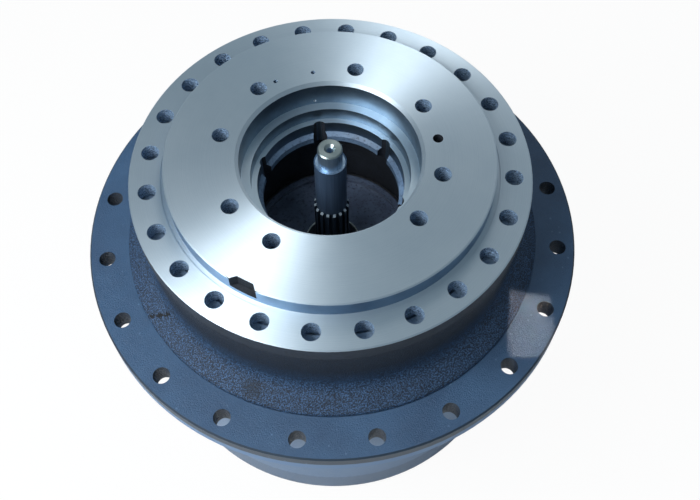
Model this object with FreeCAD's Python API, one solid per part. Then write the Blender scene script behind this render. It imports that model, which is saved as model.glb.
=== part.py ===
import FreeCAD, Part

import math
import os

Vec = FreeCAD.Vector
UP = Vec(0, 0, 1)
CENTRE = Vec(0, 0, 0)

# Heights of the stack, from the rest pad under the cover up to the motor face
rest_pad_height = 12.0
cover_rim_thickness = 56.0
ring_gear_length = 217.0
sprocket_pilot_length = 11.0
sprocket_flange_thickness = 32.0
frame_face_above_sprocket = 132.0
frame_flange_thickness = 22.0
frame_pilot_height = 22.0
shaft_above_motor_face = 11.5
flange_air_gap = 6.0

# Frame flange and motor face of the spindle
frame_flange_diameter = 484.0
frame_bolt_inset = 22.0
frame_bolt_count = 24
frame_hole_diameter = 22.0
frame_pilot_inset = 22.0
frame_flange_root_width = 8.0
pilot_relief_width = 6.0
pilot_relief_depth = 1.2
machined_edge_chamfer = 1.5
motor_bolts_from_bore = 26.0
motor_hole_diameter = 21.0
motor_hole_depth = 45.0
motor_hole_angles = [66.7, 121.5, 157.5, 202.5, 231.5, 308.5, 337.5, 22.5]
oil_port_diameter = 5.5
oil_port_depth = 40.0
oil_port_from_bore = 20.0
second_oil_port_from_bore = 23.0
second_oil_port_angle = 111.5
dowel_hole_diameter = 12.5
dowel_hole_depth = 20.0
dowel_hole_from_bore = 22.0
cross_drilling_diameter = 4.0
cross_drilling_angle = 91.0
cross_drilling_below_face = 30.8
cross_drilling_length = 22.0
notch_angle = 231.5
notch_width = 36.0
notch_depth = 7.5
notch_strip = 5.0
notch_overrun = 2.0

# Stepped motor bore, from the face inwards
motor_bore_diameter = 218.0
motor_bore_depth = 37.0
motor_bore_chamfer = 4.0
first_ledge_width = 11.0
first_ledge_wall = 19.0
second_ledge_width = 7.0
second_ledge_wall = 18.0
cast_ledge_width = 5.5
cast_ring_thickness = 13.0
cast_ring_cone = 4.0
cast_groove_count = 6
cast_groove_radius = 9.0
cast_groove_first_angle = 30.0
cast_groove_run_out = 30.0
spindle_cavity_diameter = 228.0

# Hub casting and sprocket flange
sprocket_bolt_edge = 22.5
sprocket_bolts_from_foot = 29.5
sprocket_bolt_count = 20
sprocket_hole_diameter = 21.0
sprocket_hole_phase = 0.5
sprocket_edge_chamfer = 2.0
sprocket_pilot_inset = 28.5
sprocket_pilot_ledge = 4.0
sprocket_flange_root_width = 6.0
hub_wall_thickness = 38.0
hub_foot_overhang = 2.5
hub_foot_step = 4.0
hub_slope_rise = 22.0
hub_slope_fillet = 26.0
hub_lip_round = 3.0
labyrinth_gap = 2.5
labyrinth_depth = 8.0

# Main tapered roller bearings between spindle and hub
bearing_bore = 300.0
bearing_outside_diameter = 400.0
bearing_width = 40.0
bearing_above_joint = 5.0
roller_count = 20
roller_length = 28.0
roller_radius = 10.7
roller_tilt = 14.0
cage_thickness = 3.0
cage_end_width = 3.0
inner_ring_rib_height = 4.0
inner_ring_rib_gap = 0.8
outer_ring_setback = 4.0
pitch_radius_setback = 2.0
bearing_shoulder_height = 15.0
hub_shoulder_height = 12.0
seal_housing_depth = 26.0
hub_seat_relief = 4.0

# Bearing nut on the lower end of the spindle
nut_outside_diameter = 330.0
nut_wall = 20.0
nut_height = 20.0
nut_slot_width = 16.0
nut_slot_depth = 6.0
lock_plate_thickness = 4.0
lock_plate_start = 3.0
lock_screw_diameter = 4.0
lock_screw_depth = 8.0
lock_screw_inset = 5.5
lock_screw_head_diameter = 7.0
lock_screw_head_height = 2.8
nut_slot_count = 4

# Floating face seal under the frame flange
seal_ring_inside_diameter = 344.0
seal_ring_outside_diameter = 378.0
seal_ring_height = 12.0
seal_collar_width = 8.0
seal_collar_depth = 10.0
seal_recess_depth = 6.0
seal_rubber_height = 8.0
seal_rubber_start = 3.5
seal_face_below_flange = 10.0
seal_lapped_band_width = 6.0
seal_ring_inner_relief = 3.0
seal_ring_flange_width = 3.0
seal_ring_flange_height = 2.5

# Planetary gears, both stages in one ring gear
gear_module = 6.0
tooth_foot_factor = 1.25
pressure_angle = 25.0
gear_backlash = 0.6
ring_teeth = 72
sun_1_teeth = 12
planet_1_teeth = 30
planet_1_count = 3
sun_2_teeth = 16
planet_2_teeth = 28
planet_2_count = 4
planet_1_first_angle = 90.0
planet_2_first_angle = 45.0
ring_gear_wall = 41.0
stage_1_face_width = 46.0
stage_2_face_width = 64.9
carrier_2_flange_thickness = 26.0
carrier_2_rim = 28.0
carrier_1_plate_thickness = 15.0
carrier_1_pin_rim = 25.0
pin_1_diameter = 44.0
pin_2_diameter = 60.0
planet_bearing_wall = 6.0
thrust_washer_thickness = 3.0
pin_plate_thickness = 10.0
pin_plate_half_width = 34.0
pin_bolt_diameter = 12.0
pin_bolt_head_height = 7.5
pin_bolt_length = 30.0
carrier_gap = 2.5
sun_2_ledge = 3.0
shaft_foot_overhang = 3.0
ring_teeth_end_gap = 2.0
thrust_washer_inset = 8.0
pin_bolt_head_width = 18.0
carrier_1_rim = 8.0
sun_2_seat_clearance = 0.4
sun_2_washer_inset = 1.0

# Spline that fixes the second carrier in the spindle
carrier_spline_teeth = 24
carrier_spline_height = 6.5
carrier_spline_length = 20.0
spline_root_overlap = 5.0
snap_ring_thickness = 3.0
snap_ring_groove_depth = 3.0
snap_ring_tip_gap = 2.0
snap_ring_opening = 14.0
carrier_neck_wall = 8.0
spline_core_inset = 2.0
carrier_boss_diameter = 88.0
carrier_boss_height = 2.0
carrier_bore = 72.0
carrier_bore_chamfer = 1.5
carrier_top_pad_diameter = 50.0
carrier_top_pad_radius = 64.0
carrier_top_pad_count = 3
carrier_top_pad_first_angle = 24.0
carrier_top_pad_height = 1.2
carrier_dish_depth = 6.0

# Sun shaft
shaft_boss_diameter = 30.0
shaft_boss_length = 27.0
shaft_body_diameter = 39.5
shaft_spline_diameter = 45.0
shaft_spline_root_diameter = 38.5
shaft_spline_teeth = 16
shaft_spline_top_below_frame = 81.0
shaft_spline_length = 92.0
shaft_lower_diameter = 40.0
shaft_foot_diameter = 30.0
shaft_centre_hole = 7.0
shaft_chamfer = 1.5
shaft_centre_hole_depth = 14.0
shaft_centre_hole_tip = 1.4
spline_end_drop = 3.5
spline_end_rise = 2.5
sun_2_bore = 48.0

# Cover, bolts and plugs
cover_floor_thickness = 24.0
cover_edge_chamfer = 10.5
cover_pad_inset = 24.0
cover_pad_chamfer = 4.0
cover_wall_draft = 8.0
cover_rib_inner_diameter = 160.0
cover_rib_width = 20.0
cover_boss_diameter = 60.0
thrust_plate_thickness = 5.7
thrust_button_diameter = 28.0
thrust_button_height = 12.0
cover_bolt_count = 12
cover_bolt_inset = 24.5
cover_bolt_diameter = 16.0
cover_bolt_clearance = 2.0
cover_bolt_thread_length = 30.0
cover_bolt_hole_run_out = 5.0
cover_bolt_head_width = 24.0
cover_bolt_head_height = 10.0
cover_bolt_first_angle = 15.0
spigot_length = 8.0
spigot_wall = 12.0
ring_counterbore_step = 0.5
o_ring_width = 4.0
o_ring_depth = 3.4
plug_angles = [-90.0, 0.0, 90.0]
plug_circle = 300.0
plug_diameter = 30.0
plug_head_diameter = 40.0
plug_head_height = 9.0
plug_pocket_diameter = 48.0
plug_pocket_depth = 13.0
plug_hexagon = 17.0
plug_hexagon_depth = 6.0

# Clearances
running_clearance = 0.1
moving_gap = 0.3
spline_gap = 0.2

# How far a cutting shape reaches past the face that it opens
cut_margin = 1.0

# Levels worked out from the stack
ledge_z = rest_pad_height
joint_z = ledge_z + cover_rim_thickness
ring_top_z = joint_z + ring_gear_length
sprocket_low_z = ring_top_z + sprocket_pilot_length
sprocket_top_z = sprocket_low_z + sprocket_flange_thickness
frame_z = sprocket_top_z + frame_face_above_sprocket
flange_under_z = frame_z - frame_flange_thickness
motor_z = frame_z + frame_pilot_height
shaft_top_z = motor_z + shaft_above_motor_face
hub_top_z = flange_under_z - flange_air_gap
upper_bearing_top_z = flange_under_z - seal_housing_depth
upper_bearing_low_z = upper_bearing_top_z - bearing_width
lower_bearing_low_z = ring_top_z + bearing_above_joint
lower_bearing_top_z = lower_bearing_low_z + bearing_width
nut_low_z = lower_bearing_low_z - nut_height
spindle_low_z = nut_low_z - 2.0 * lock_plate_thickness
carrier_2_top_z = spindle_low_z
carrier_2_low_z = carrier_2_top_z - carrier_2_flange_thickness
planet_2_top_z = carrier_2_low_z - thrust_washer_thickness - moving_gap
planet_2_low_z = planet_2_top_z - stage_2_face_width
pin_plate_2_top_z = planet_2_low_z - moving_gap - thrust_washer_thickness
pin_plate_2_low_z = pin_plate_2_top_z - pin_plate_thickness
carrier_1_top_z = pin_plate_2_low_z - pin_bolt_head_height - carrier_gap
carrier_1_low_z = carrier_1_top_z - carrier_1_plate_thickness
planet_1_top_z = carrier_1_low_z - thrust_washer_thickness - moving_gap
planet_1_low_z = planet_1_top_z - stage_1_face_width
pin_plate_1_top_z = planet_1_low_z - moving_gap - thrust_washer_thickness
pin_plate_1_low_z = pin_plate_1_top_z - pin_plate_thickness
sun_2_low_z = carrier_1_low_z + sun_2_ledge
sun_2_top_z = planet_2_top_z
cover_floor_z = cover_floor_thickness
thrust_plate_top_z = pin_plate_1_low_z - moving_gap
shaft_foot_z = pin_plate_1_low_z - shaft_foot_overhang
carrier_hub_top_z = carrier_2_top_z + carrier_spline_length
lock_screw_circle_r = nut_outside_diameter / 2.0 - nut_slot_depth - lock_screw_inset

# Gear radii and centre distances
ring_pitch_r = gear_module * ring_teeth / 2.0
stage_1_centre = gear_module * (sun_1_teeth + planet_1_teeth) / 2.0
stage_2_centre = gear_module * (sun_2_teeth + planet_2_teeth) / 2.0
ring_tip_r = ring_pitch_r - gear_module
ring_root_r = ring_pitch_r + tooth_foot_factor * gear_module

# Diameters and circles worked out from the pieces that they stand beside
frame_bolt_circle = frame_flange_diameter - 2.0 * frame_bolt_inset
frame_pilot_diameter = frame_bolt_circle - 2.0 * frame_pilot_inset
motor_bolt_circle = motor_bore_diameter + 2.0 * motor_bolts_from_bore
oil_port_radius = motor_bore_diameter / 2.0 + oil_port_from_bore
second_oil_port_radius = motor_bore_diameter / 2.0 + second_oil_port_from_bore
dowel_hole_radius = motor_bore_diameter / 2.0 + dowel_hole_from_bore
cross_drilling_end_radius = motor_bore_diameter / 2.0 + cross_drilling_length
first_ledge_diameter = motor_bore_diameter - 2.0 * first_ledge_width
second_ledge_diameter = first_ledge_diameter - 2.0 * second_ledge_width
cast_ring_diameter = second_ledge_diameter - 2.0 * cast_ledge_width
carrier_spline_inner_diameter = spindle_cavity_diameter - 2.0 * carrier_spline_height
nut_thread_diameter = nut_outside_diameter - 2.0 * nut_wall
ring_gear_diameter = 2.0 * (ring_root_r + ring_gear_wall)
ring_counterbore_diameter = 2.0 * (ring_root_r + ring_counterbore_step)
cover_bolt_circle = ring_gear_diameter - 2.0 * cover_bolt_inset
cover_pad_diameter = cover_bolt_circle - 2.0 * cover_pad_inset
cover_rib_outer_diameter = cover_rib_inner_diameter + 2.0 * cover_rib_width
hub_wall_diameter = bearing_outside_diameter + 2.0 * hub_wall_thickness
hub_foot_diameter = ring_gear_diameter + 2.0 * hub_foot_overhang
sprocket_bolt_circle = hub_foot_diameter + 2.0 * sprocket_bolts_from_foot
sprocket_flange_diameter = sprocket_bolt_circle + 2.0 * sprocket_bolt_edge
sprocket_pilot_diameter = sprocket_bolt_circle - 2.0 * sprocket_pilot_inset
sprocket_face_inner_r = sprocket_pilot_diameter / 2.0 + sprocket_pilot_ledge
carrier_1_diameter = 2.0 * stage_1_centre + pin_1_diameter + 2.0 * carrier_1_pin_rim
carrier_2_flange_diameter = 2.0 * stage_2_centre + pin_2_diameter + 2.0 * carrier_2_rim
frame_flange_root_r = frame_pilot_diameter / 2.0 - frame_flange_root_width
sprocket_flange_root_r = hub_foot_diameter / 2.0 - sprocket_flange_root_width
sprocket_root_step_z = (sprocket_low_z + sprocket_top_z) / 2.0


def turned(corners):
    """Solid of revolution about the axis. A corner is (r, z) or (r, z, fillet radius)."""
    points = [Vec(c[0], 0, c[1]) for c in corners]
    rounds = [c[2] if len(c) > 2 else 0.0 for c in corners]
    edges = []
    starts = []
    ends = []
    for i, point in enumerate(points):
        before = (points[i - 1] - point).normalize()
        after = (points[(i + 1) % len(points)] - point).normalize()
        reach = 0.0
        if rounds[i] > 0:
            half = before.getAngle(after) / 2.0
            reach = rounds[i] / math.tan(half)
        starts.append(point + before * reach)
        ends.append(point + after * reach)
    for i, point in enumerate(points):
        if rounds[i] > 0:
            inwards = ((starts[i] + ends[i]) * 0.5 - point).normalize()
            half = (starts[i] - point).getAngle(ends[i] - point) / 2.0
            middle = point + inwards * (rounds[i] / math.sin(half) - rounds[i])
            edges.append(Part.Arc(starts[i], middle, ends[i]).toShape())
        following = starts[(i + 1) % len(points)]
        if (following - ends[i]).Length > 1e-6:
            edges.append(Part.makeLine(ends[i], following))
    face = Part.Face(Part.Wire(edges))
    return face.revolve(CENTRE, UP, 360)


def ring(inner_r, outer_r, low_z, high_z):
    """Plain ring of rectangular section."""
    return turned([(inner_r, low_z), (outer_r, low_z), (outer_r, high_z), (inner_r, high_z)])


def rod(radius, low_z, high_z, at_r=0.0, angle=0.0):
    """Upright cylinder at a distance and an angle from the axis."""
    turn = math.radians(angle)
    foot = Vec(at_r * math.cos(turn), at_r * math.sin(turn), low_z)
    return Part.makeCylinder(radius, high_z - low_z, foot, UP)


def circle_of_rods(count, circle_r, radius, low_z, high_z, first_angle=0.0):
    """Evenly spaced upright cylinders, for holes, pins and shanks."""
    step = 360.0 / count
    return [rod(radius, low_z, high_z, circle_r, first_angle + step * i) for i in range(count)]


def hexagon(width_across_flats, low_z, high_z, at_r=0.0, angle=0.0):
    """Upright hexagonal prism, for bolt heads and key sockets."""
    corner_r = width_across_flats / math.sqrt(3.0)
    turn = math.radians(angle)
    centre = Vec(at_r * math.cos(turn), at_r * math.sin(turn), low_z)
    corners = []
    for i in range(7):
        spoke = turn + math.radians(60 * i)
        corners.append(centre + Vec(corner_r * math.cos(spoke), corner_r * math.sin(spoke), 0))
    return Part.Face(Part.makePolygon(corners)).extrude(UP * (high_z - low_z))


def hex_bolt(diameter, head_width, head_low_z, head_height, shank_top_z, at_r, angle):
    """Bolt with its head below and its shank pointing up."""
    head_top_z = head_low_z + head_height
    head = hexagon(head_width, head_low_z, head_top_z, at_r, angle)
    shank = rod(diameter / 2.0, head_top_z, shank_top_z, at_r, angle)
    return head.fuse(shank)


def polar(radius, angle, z=0.0):
    turn = math.radians(angle)
    return Vec(radius * math.cos(turn), radius * math.sin(turn), z)


def involute(angle):
    return math.tan(angle) - angle


def flank_half_angle(teeth, radius, thinning):
    """Half the angle that a tooth fills at a radius, in degrees, with the flanks thinned."""
    pitch_r = gear_module * teeth / 2.0
    base_r = pitch_r * math.cos(math.radians(pressure_angle))
    at_radius = math.acos(min(1.0, base_r / radius))
    at_pitch = math.radians(pressure_angle)
    half = math.pi / (2.0 * teeth) - thinning / (2.0 * pitch_r) + involute(at_pitch) - involute(at_radius)
    return math.degrees(half)


def gear_face(teeth, tip_r, root_r, thinning, phase):
    """Gear outline with one arc for each involute flank, and a tooth centred on the phase angle."""
    pitch_r = gear_module * teeth / 2.0
    base_r = pitch_r * math.cos(math.radians(pressure_angle))
    flank_foot_r = max(root_r, base_r)
    middle_r = (flank_foot_r + tip_r) / 2.0
    foot = flank_half_angle(teeth, flank_foot_r, thinning)
    middle = flank_half_angle(teeth, middle_r, thinning)
    tip = flank_half_angle(teeth, tip_r, thinning)
    step = 360.0 / teeth
    edges = []
    for i in range(teeth):
        at = phase + step * i
        rising = [polar(flank_foot_r, at - foot), polar(middle_r, at - middle), polar(tip_r, at - tip)]
        falling = [polar(tip_r, at + tip), polar(middle_r, at + middle), polar(flank_foot_r, at + foot)]
        root_start = polar(root_r, at + foot)
        root_end = polar(root_r, at + step - foot)
        if flank_foot_r > root_r:
            edges.append(Part.makeLine(polar(root_r, at - foot), rising[0]))
        edges.append(Part.Arc(*rising).toShape())
        edges.append(Part.Arc(rising[2], polar(tip_r, at), falling[0]).toShape())
        edges.append(Part.Arc(*falling).toShape())
        if flank_foot_r > root_r:
            edges.append(Part.makeLine(falling[2], root_start))
        edges.append(Part.Arc(root_start, polar(root_r, at + step / 2.0), root_end).toShape())
    return Part.Face(Part.Wire(edges))


def outer_gear(teeth, low_z, high_z, phase, thinning=gear_backlash / 2.0):
    pitch_r = gear_module * teeth / 2.0
    face = gear_face(teeth, pitch_r + gear_module, pitch_r - tooth_foot_factor * gear_module, thinning, phase)
    face.translate(Vec(0, 0, low_z))
    return face.extrude(UP * (high_z - low_z))


def spline_prism(teeth, inner_r, outer_r, thinning, low_z, high_z):
    """Straight-sided splined bar: teeth stand from the inner to the outer radius."""
    step = 360.0 / teeth
    half = step / 4.0 - math.degrees(thinning / inner_r)
    edges = []
    for i in range(teeth):
        at = step * i
        foot_in = polar(inner_r, at - half)
        foot_out = polar(inner_r, at + half)
        tip_in = polar(outer_r, at - half * inner_r / outer_r)
        tip_out = polar(outer_r, at + half * inner_r / outer_r)
        next_foot = polar(inner_r, at + step - half)
        edges.append(Part.makeLine(foot_in, tip_in))
        edges.append(Part.Arc(tip_in, polar(outer_r, at), tip_out).toShape())
        edges.append(Part.makeLine(tip_out, foot_out))
        edges.append(Part.Arc(foot_out, polar(inner_r, at + step / 2.0), next_foot).toShape())
    face = Part.Face(Part.Wire(edges))
    face.translate(Vec(0, 0, low_z))
    return face.extrude(UP * (high_z - low_z))


def planet_angles(count, first_angle):
    return [first_angle + 360.0 / count * i for i in range(count)]


def planet_phase(angle, sun_teeth, planet_teeth, sun_phase):
    """Angle of a planet tooth so that the planet meshes with the sun on the line of centres."""
    sun_tooth = (angle - sun_phase) * sun_teeth / 360.0
    return angle + 180.0 - 360.0 / planet_teeth * (0.5 - sun_tooth)


def ring_space_phase():
    """Angle of a tooth space of the ring gear that takes the teeth of the second-stage planets."""
    angle = planet_2_first_angle
    planet_tooth = (angle - planet_phase(angle, sun_2_teeth, planet_2_teeth, 0.0)) * planet_2_teeth / 360.0
    return angle - planet_tooth * 360.0 / ring_teeth


def sun_1_phase():
    """Angle of a sun tooth that lets the first-stage planets mesh with the same ring gear."""
    angle = planet_1_first_angle
    planet_tooth = (angle - ring_space_phase()) * ring_teeth / 360.0
    sun_tooth = 0.5 - planet_1_teeth / 2.0 - planet_tooth
    return angle - sun_tooth * 360.0 / sun_1_teeth


# Spindle: a casting that bolts to the track frame, carries the motor above and the bearings outside
def spindle_blank():
    pilot_r = frame_pilot_diameter / 2.0
    shoulder_r = bearing_bore / 2.0 + bearing_shoulder_height
    bore_r = motor_bore_diameter / 2.0
    first_r = first_ledge_diameter / 2.0
    second_r = second_ledge_diameter / 2.0
    cast_r = cast_ring_diameter / 2.0
    cavity_r = spindle_cavity_diameter / 2.0
    first_z = motor_z - motor_bore_depth
    second_z = first_z - first_ledge_wall
    cast_top_z = second_z - second_ledge_wall
    cast_low_z = cast_top_z - cast_ring_thickness
    edge = machined_edge_chamfer
    return turned([
        (bore_r + motor_bore_chamfer, motor_z),
        (pilot_r - edge, motor_z),
        (pilot_r, motor_z - edge),
        (pilot_r, frame_z - pilot_relief_depth),
        (frame_flange_root_r, frame_z - pilot_relief_depth),
        (frame_flange_root_r, flange_under_z + seal_recess_depth),
        (shoulder_r, flange_under_z + seal_recess_depth),
        (shoulder_r, upper_bearing_top_z),
        (bearing_bore / 2.0, upper_bearing_top_z),
        (bearing_bore / 2.0, lower_bearing_low_z),
        (nut_thread_diameter / 2.0, lower_bearing_low_z),
        (nut_thread_diameter / 2.0, spindle_low_z),
        (carrier_spline_inner_diameter / 2.0, spindle_low_z),
        (carrier_spline_inner_diameter / 2.0, carrier_hub_top_z),
        (cavity_r, carrier_hub_top_z),
        (cavity_r, cast_low_z - (cavity_r - cast_r)),
        (cast_r, cast_low_z),
        (cast_r, cast_top_z - cast_ring_cone),
        (second_r, cast_top_z),
        (second_r, second_z),
        (first_r, second_z),
        (first_r, first_z),
        (bore_r, first_z),
        (bore_r, motor_z - motor_bore_chamfer),
    ])


def edge_notch():
    """As-cast flat left in the edge of the machined disc, with its ends sloped inwards."""
    pilot_r = frame_pilot_diameter / 2.0
    half = notch_width / 2.0
    inner = pilot_r - notch_depth
    corners = [
        Vec(inner, -half + notch_depth, 0),
        Vec(pilot_r + notch_overrun, -half - notch_overrun, 0),
        Vec(pilot_r + notch_overrun, half + notch_overrun, 0),
        Vec(inner, half - notch_depth, 0),
        Vec(inner, -half + notch_depth, 0),
    ]
    tool = Part.Face(Part.makePolygon(corners)).extrude(UP * (frame_pilot_height - notch_strip + cut_margin))
    tool.translate(Vec(0, 0, frame_z + notch_strip))
    tool.rotate(CENTRE, UP, notch_angle)
    return tool


def frame_flange():
    """Outer ring of the spindle's casting: the frame bolts' flange with the seal's collar under it."""
    flange_r = frame_flange_diameter / 2.0
    relief_r = frame_pilot_diameter / 2.0 + pilot_relief_width
    collar_in_r = bearing_outside_diameter / 2.0
    collar_out_r = collar_in_r + seal_collar_width
    edge = machined_edge_chamfer
    body = turned([
        (frame_flange_root_r, frame_z - pilot_relief_depth),
        (relief_r, frame_z - pilot_relief_depth),
        (relief_r, frame_z),
        (flange_r - edge, frame_z),
        (flange_r, frame_z - edge),
        (flange_r, flange_under_z),
        (collar_out_r, flange_under_z),
        (collar_out_r, flange_under_z - seal_collar_depth),
        (collar_in_r, flange_under_z - seal_collar_depth),
        (collar_in_r, flange_under_z + seal_recess_depth),
        (frame_flange_root_r, flange_under_z + seal_recess_depth),
    ])
    return body.cut(circle_of_rods(
        frame_bolt_count, frame_bolt_circle / 2.0, frame_hole_diameter / 2.0,
        flange_under_z - cut_margin, frame_z + cut_margin
    ))


def spindle():
    cuts = []
    for angle in motor_hole_angles:
        cuts.append(rod(motor_hole_diameter / 2.0, motor_z - motor_hole_depth, motor_z + cut_margin,
                        motor_bolt_circle / 2.0, angle))
    port_r = oil_port_diameter / 2.0
    port_low_z = motor_z - oil_port_depth
    cuts.append(rod(port_r, port_low_z, motor_z + cut_margin, oil_port_radius, 90.0))
    cuts.append(rod(port_r, port_low_z, motor_z + cut_margin, second_oil_port_radius, second_oil_port_angle))
    cuts.append(rod(dowel_hole_diameter / 2.0, motor_z - dowel_hole_depth, motor_z + cut_margin,
                    dowel_hole_radius, 0.0))
    start_r = motor_bore_diameter / 2.0 - cut_margin
    drilling_z = motor_z - cross_drilling_below_face
    cuts.append(Part.makeCylinder(
        cross_drilling_diameter / 2.0, cross_drilling_end_radius - start_r,
        polar(start_r, cross_drilling_angle, drilling_z), polar(1.0, cross_drilling_angle)
    ))
    cuts.append(edge_notch())
    groove_low_z = motor_z - motor_bore_depth - first_ledge_wall - second_ledge_wall - cast_ring_thickness
    cuts += circle_of_rods(
        cast_groove_count, cast_ring_diameter / 2.0, cast_groove_radius, groove_low_z - cast_groove_run_out,
        motor_z - motor_bore_depth - first_ledge_wall + cut_margin, cast_groove_first_angle
    )
    cuts.append(spline_prism(
        carrier_spline_teeth, carrier_spline_inner_diameter / 2.0 - spline_root_overlap,
        spindle_cavity_diameter / 2.0, 0.0, spindle_low_z - cut_margin, carrier_hub_top_z + cut_margin
    ))
    return spindle_blank().cut(cuts)


# Hub: a casting with the sprocket flange, carried by the two bearings
def sprocket_flange():
    """Outer ring of the hub's casting, which the sprocket is bolted under."""
    flange_r = sprocket_flange_diameter / 2.0
    edge = sprocket_edge_chamfer
    body = turned([
        (sprocket_flange_root_r, sprocket_top_z),
        (flange_r - edge, sprocket_top_z),
        (flange_r, sprocket_top_z - edge),
        (flange_r, sprocket_low_z + machined_edge_chamfer),
        (flange_r - machined_edge_chamfer, sprocket_low_z),
        (sprocket_face_inner_r, sprocket_low_z),
        (sprocket_face_inner_r, sprocket_root_step_z),
        (sprocket_flange_root_r, sprocket_root_step_z),
    ])
    return body.cut(circle_of_rods(
        sprocket_bolt_count, sprocket_bolt_circle / 2.0, sprocket_hole_diameter / 2.0,
        sprocket_low_z - cut_margin, sprocket_top_z + cut_margin, sprocket_hole_phase
    ))


def hub():
    wall_r = hub_wall_diameter / 2.0
    foot_r = hub_foot_diameter / 2.0
    pilot_r = sprocket_pilot_diameter / 2.0
    spigot_r = ring_counterbore_diameter / 2.0
    seat_r = bearing_outside_diameter / 2.0
    lip_r = seat_r + seal_collar_width + labyrinth_gap
    spigot_low_z = ring_top_z - spigot_length
    groove_low_z = ring_top_z - spigot_length / 2.0 - o_ring_width / 2.0
    slope_top_z = sprocket_top_z + hub_foot_step + hub_slope_rise
    body = turned([
        (lip_r, hub_top_z),
        (wall_r, hub_top_z, hub_lip_round),
        (wall_r, slope_top_z, hub_slope_fillet),
        (foot_r, sprocket_top_z + hub_foot_step),
        (foot_r, sprocket_top_z),
        (sprocket_flange_root_r, sprocket_top_z),
        (sprocket_flange_root_r, sprocket_root_step_z),
        (sprocket_face_inner_r, sprocket_root_step_z),
        (sprocket_face_inner_r, sprocket_low_z),
        (pilot_r, sprocket_low_z),
        (pilot_r, ring_top_z),
        (spigot_r, ring_top_z),
        (spigot_r, groove_low_z + o_ring_width),
        (spigot_r - o_ring_depth, groove_low_z + o_ring_width),
        (spigot_r - o_ring_depth, groove_low_z),
        (spigot_r, groove_low_z),
        (spigot_r, spigot_low_z),
        (spigot_r - spigot_wall, spigot_low_z),
        (seat_r + hub_seat_relief, lower_bearing_low_z),
        (seat_r, lower_bearing_low_z),
        (seat_r, lower_bearing_top_z),
        (seat_r - hub_shoulder_height, lower_bearing_top_z),
        (seat_r - hub_shoulder_height, upper_bearing_low_z),
        (seat_r, upper_bearing_low_z),
        (seat_r, hub_top_z - labyrinth_depth),
        (lip_r, hub_top_z - labyrinth_depth),
    ])
    return body.cut(circle_of_rods(
        cover_bolt_count, cover_bolt_circle / 2.0, cover_bolt_diameter / 2.0,
        ring_top_z - cut_margin, ring_top_z + cover_bolt_thread_length + cover_bolt_hole_run_out,
        cover_bolt_first_angle
    ))


# Ring gear: one ring bolted between hub and cover, with teeth for both stages
def ring_gear():
    outside_r = ring_gear_diameter / 2.0
    counterbore_r = ring_counterbore_diameter / 2.0
    teeth_low_z = joint_z + spigot_length + ring_teeth_end_gap
    teeth_high_z = carrier_2_low_z + ring_teeth_end_gap
    blank = turned([
        (counterbore_r, joint_z),
        (outside_r, joint_z),
        (outside_r, ring_top_z),
        (counterbore_r, ring_top_z),
        (counterbore_r, teeth_high_z),
        (ring_tip_r - cut_margin, teeth_high_z),
        (ring_tip_r - cut_margin, teeth_low_z),
        (counterbore_r, teeth_low_z),
    ])
    spaces = gear_face(ring_teeth, ring_root_r, ring_tip_r, -gear_backlash / 2.0, ring_space_phase())
    spaces.translate(Vec(0, 0, teeth_low_z - cut_margin))
    cuts = [spaces.extrude(UP * (teeth_high_z - teeth_low_z + 2.0 * cut_margin))]
    cuts += circle_of_rods(
        cover_bolt_count, cover_bolt_circle / 2.0, (cover_bolt_diameter + cover_bolt_clearance) / 2.0,
        joint_z - cut_margin, ring_top_z + cut_margin, cover_bolt_first_angle
    )
    return blank.cut(cuts)


# Cover: the lower shell, with the oil plugs and the thrust pieces inside
def cover():
    outside_r = ring_gear_diameter / 2.0
    pad_r = cover_pad_diameter / 2.0
    spigot_r = ring_counterbore_diameter / 2.0
    wall_r = spigot_r - spigot_wall
    groove_low_z = joint_z + spigot_length / 2.0 - o_ring_width / 2.0
    boss_r = cover_boss_diameter / 2.0
    button_r = thrust_button_diameter / 2.0
    button_low_z = shaft_foot_z - moving_gap - thrust_button_height
    rib_in_r = cover_rib_inner_diameter / 2.0
    rib_out_r = cover_rib_outer_diameter / 2.0
    rib_top_z = thrust_plate_top_z - thrust_plate_thickness
    body = turned([
        (0.0, 0.0),
        (pad_r - cover_pad_chamfer, 0.0),
        (pad_r, ledge_z),
        (outside_r - cover_edge_chamfer, ledge_z),
        (outside_r, ledge_z + cover_edge_chamfer),
        (outside_r, joint_z),
        (spigot_r, joint_z),
        (spigot_r, groove_low_z),
        (spigot_r - o_ring_depth, groove_low_z),
        (spigot_r - o_ring_depth, groove_low_z + o_ring_width),
        (spigot_r, groove_low_z + o_ring_width),
        (spigot_r, joint_z + spigot_length),
        (wall_r, joint_z + spigot_length),
        (wall_r - cover_wall_draft, cover_floor_z),
        (rib_out_r, cover_floor_z),
        (rib_out_r, rib_top_z),
        (rib_in_r, rib_top_z),
        (rib_in_r, cover_floor_z),
        (boss_r, cover_floor_z),
        (boss_r, button_low_z + thrust_button_height / 2.0),
        (button_r, button_low_z + thrust_button_height / 2.0),
        (button_r, button_low_z),
        (0.0, button_low_z),
    ])
    cuts = circle_of_rods(
        cover_bolt_count, cover_bolt_circle / 2.0, (cover_bolt_diameter + cover_bolt_clearance) / 2.0,
        ledge_z - cut_margin, joint_z + cut_margin, cover_bolt_first_angle
    )
    for angle in plug_angles:
        cuts.append(rod(plug_pocket_diameter / 2.0, -cut_margin, plug_pocket_depth, plug_circle / 2.0, angle))
        cuts.append(rod(plug_diameter / 2.0, plug_pocket_depth - cut_margin, cover_floor_z + cut_margin,
                        plug_circle / 2.0, angle))
    return body.cut(cuts)


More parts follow.
